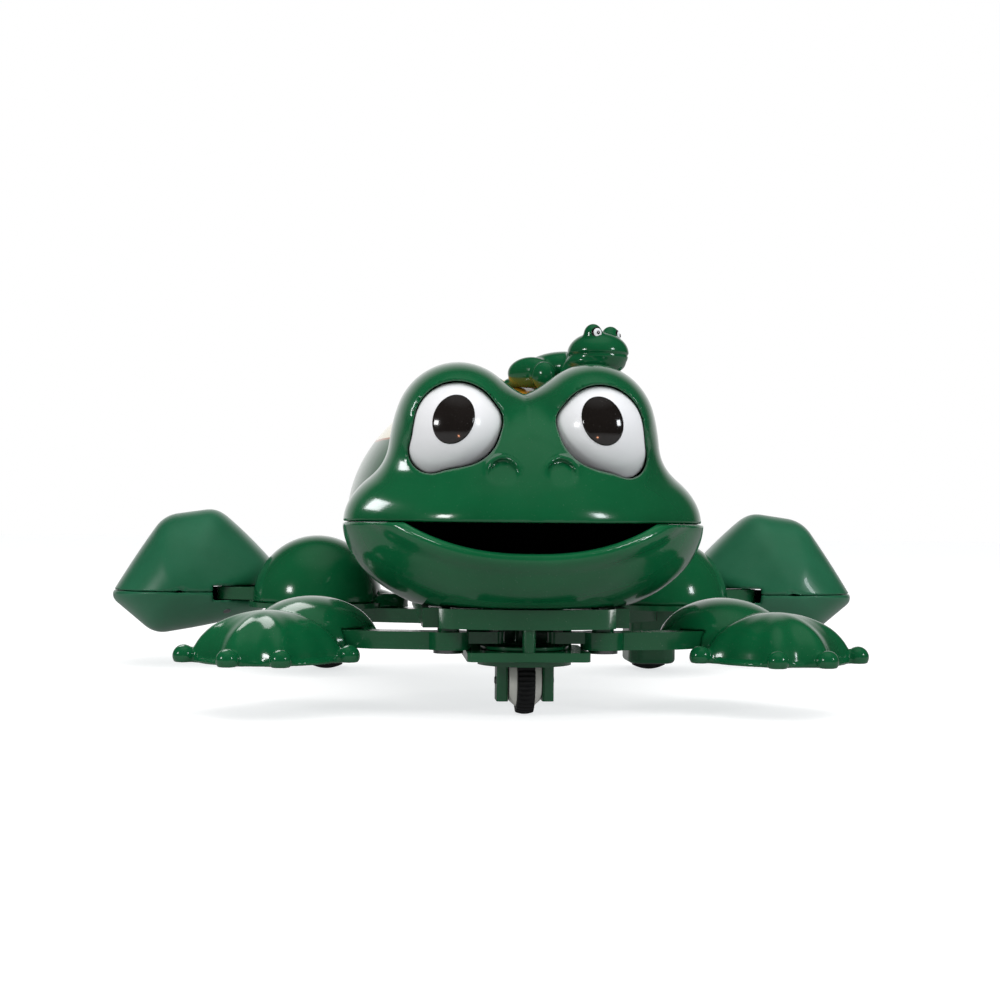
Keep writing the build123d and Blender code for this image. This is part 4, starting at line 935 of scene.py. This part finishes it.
def build_world():
    """White for the camera, soft for matte surfaces, and a dim room with a bright far wall for gloss."""
    world = bpy.data.worlds.new("studio")
    bpy.context.scene.world = world
    world.use_nodes = True
    tree = world.node_tree
    nodes, links = tree.nodes, tree.links
    split = nodes.new("ShaderNodeSeparateXYZ")
    links.new(nodes.new("ShaderNodeTexCoord").outputs["Generated"], split.inputs[0])

    def ramp(value, low, high, start, end):
        node = nodes.new("ShaderNodeMapRange")
        links.new(value, node.inputs[0])
        for socket, number in zip(node.inputs[1:5], (low, high, start, end)):
            socket.default_value = number
        return node.outputs[0]

    def blend(share, one, two):
        node = nodes.new("ShaderNodeMix")
        for socket, value in ((node.inputs[0], share), (node.inputs[2], one), (node.inputs[3], two)):
            if isinstance(value, bpy.types.NodeSocket):
                links.new(value, socket)
            else:
                socket.default_value = value
        return node.outputs[0]

    behind = ramp(split.outputs["Y"], 0.66, 0.97, 0.03, 1.0)
    overhead = ramp(split.outputs["Z"], 0.8, 0.97, 0.0, 0.25)
    room = nodes.new("ShaderNodeMath")
    room.operation = "MAXIMUM"
    links.new(behind, room.inputs[0])
    links.new(overhead, room.inputs[1])
    soft = ramp(split.outputs["Y"], -1.0, 0.8, 0.35, 0.75)
    ray = nodes.new("ShaderNodeLightPath")
    matte_or_gloss = blend(ray.outputs["Is Diffuse Ray"], room.outputs[0], soft)
    links.new(blend(ray.outputs["Is Camera Ray"], matte_or_gloss, 1.0), nodes["Background"].inputs["Strength"])
    nodes["Background"].inputs["Color"].default_value = (1, 1, 1, 1)


def softbox(name, at, toward, size, watts, tint=(1, 1, 1)):
    """A rectangular lamp, its size in metres, facing a point."""
    light = bpy.data.lights.new(name, "AREA")
    light.shape = "RECTANGLE"
    light.size, light.size_y = size
    light.energy = watts
    light.color = tint
    lamp = bpy.data.objects.new(name, light)
    bpy.context.scene.collection.objects.link(lamp)
    lamp.location = Vector(at)
    lamp.rotation_euler = (Vector(toward) - Vector(at)).to_track_quat("-Z", "Y").to_euler()
    return lamp


def shine_only_on(lamp, *pieces):
    """A small accent light that touches only the named pieces."""
    receivers = bpy.data.collections.new(f"{lamp.name}_receivers")
    for piece in pieces:
        receivers.objects.link(bpy.data.objects[piece])
    lamp.light_linking.receiver_collection = receivers


def build_lights():
    middle = (0, 0, 0.06)
    fill = softbox("top_light", (0.1, -0.5, 1.1), middle, (1.2, 1.2), 9)
    fill.visible_glossy = False
    softbox("left_window", (0.85, -0.75, 0.50), middle, (0.16, 0.22), 2.2, (0.92, 0.97, 1))
    softbox("right_window", (-0.95, -0.60, 0.42), middle, (0.20, 0.16), 2.2)
    spot = softbox("warm_spot", (-0.03, -0.45, 0.015), (0, -0.11, 0.09), (0.03, 0.02), 0.035, (1, 0.42, 0.22))
    spot.visible_camera = False
    shine_only_on(spot, "left_iris", "right_iris")
    rear = softbox("rear_window", (-0.89, 0.26, 0.47), middle, (0.24, 0.24), 2.2, (0.95, 0.98, 1))
    shine_only_on(rear, "head_skin")
    above = softbox("arm_window", (-0.35, 0.5, 0.85), middle, (0.5, 0.4), 2.6)
    shine_only_on(above, "right_hand_skin")
    for name, at in (("lip_light_right", (-0.48, -0.70, 0.74)), ("lip_light_left", (0.45, -0.62, 0.75))):
        shine_only_on(softbox(name, at, middle, (0.24, 0.12), 1.1), "jaw_skin")
    for name, x in (("right_card", -0.36), ("left_card", 0.36)):
        card = softbox(name, (x, -0.08, 0.03), (0, -0.10, 0.03), (0.14, 0.07), 0.32)
        card.visible_camera = False
        shine_only_on(card, "chassis_pan_finished")


CAMERA_AT = (-0.0471, -0.6189, SEAM * MM)
CAMERA_YAW, CAMERA_ROLL = math.radians(-4.4), math.radians(0.5)
CAMERA_LENS, CAMERA_SHIFT = 61.2, (-0.005, 0.023)


def build_camera():
    """Level, nearly straight on and as high as the seam, with the horizon a little under the middle."""
    camera = bpy.data.objects.new("camera", bpy.data.cameras.new("camera"))
    bpy.context.scene.collection.objects.link(camera)
    camera.data.lens = CAMERA_LENS
    camera.data.sensor_width = 36
    camera.data.shift_x, camera.data.shift_y = CAMERA_SHIFT
    camera.data.clip_start = 0.01
    camera.location = CAMERA_AT
    level = Matrix.Rotation(CAMERA_YAW, 4, "Z") @ Matrix.Rotation(math.radians(90), 4, "X")
    camera.rotation_euler = (level @ Matrix.Rotation(CAMERA_ROLL, 4, "Z")).to_euler()
    bpy.context.scene.camera = camera


build_head()
build_eyes()
build_body()
build_limbs()
build_baby()
build_tyres()
dress_cad()
build_floor()
build_world()
build_lights()
build_camera()
bpy.context.scene.view_settings.view_transform = "Standard"
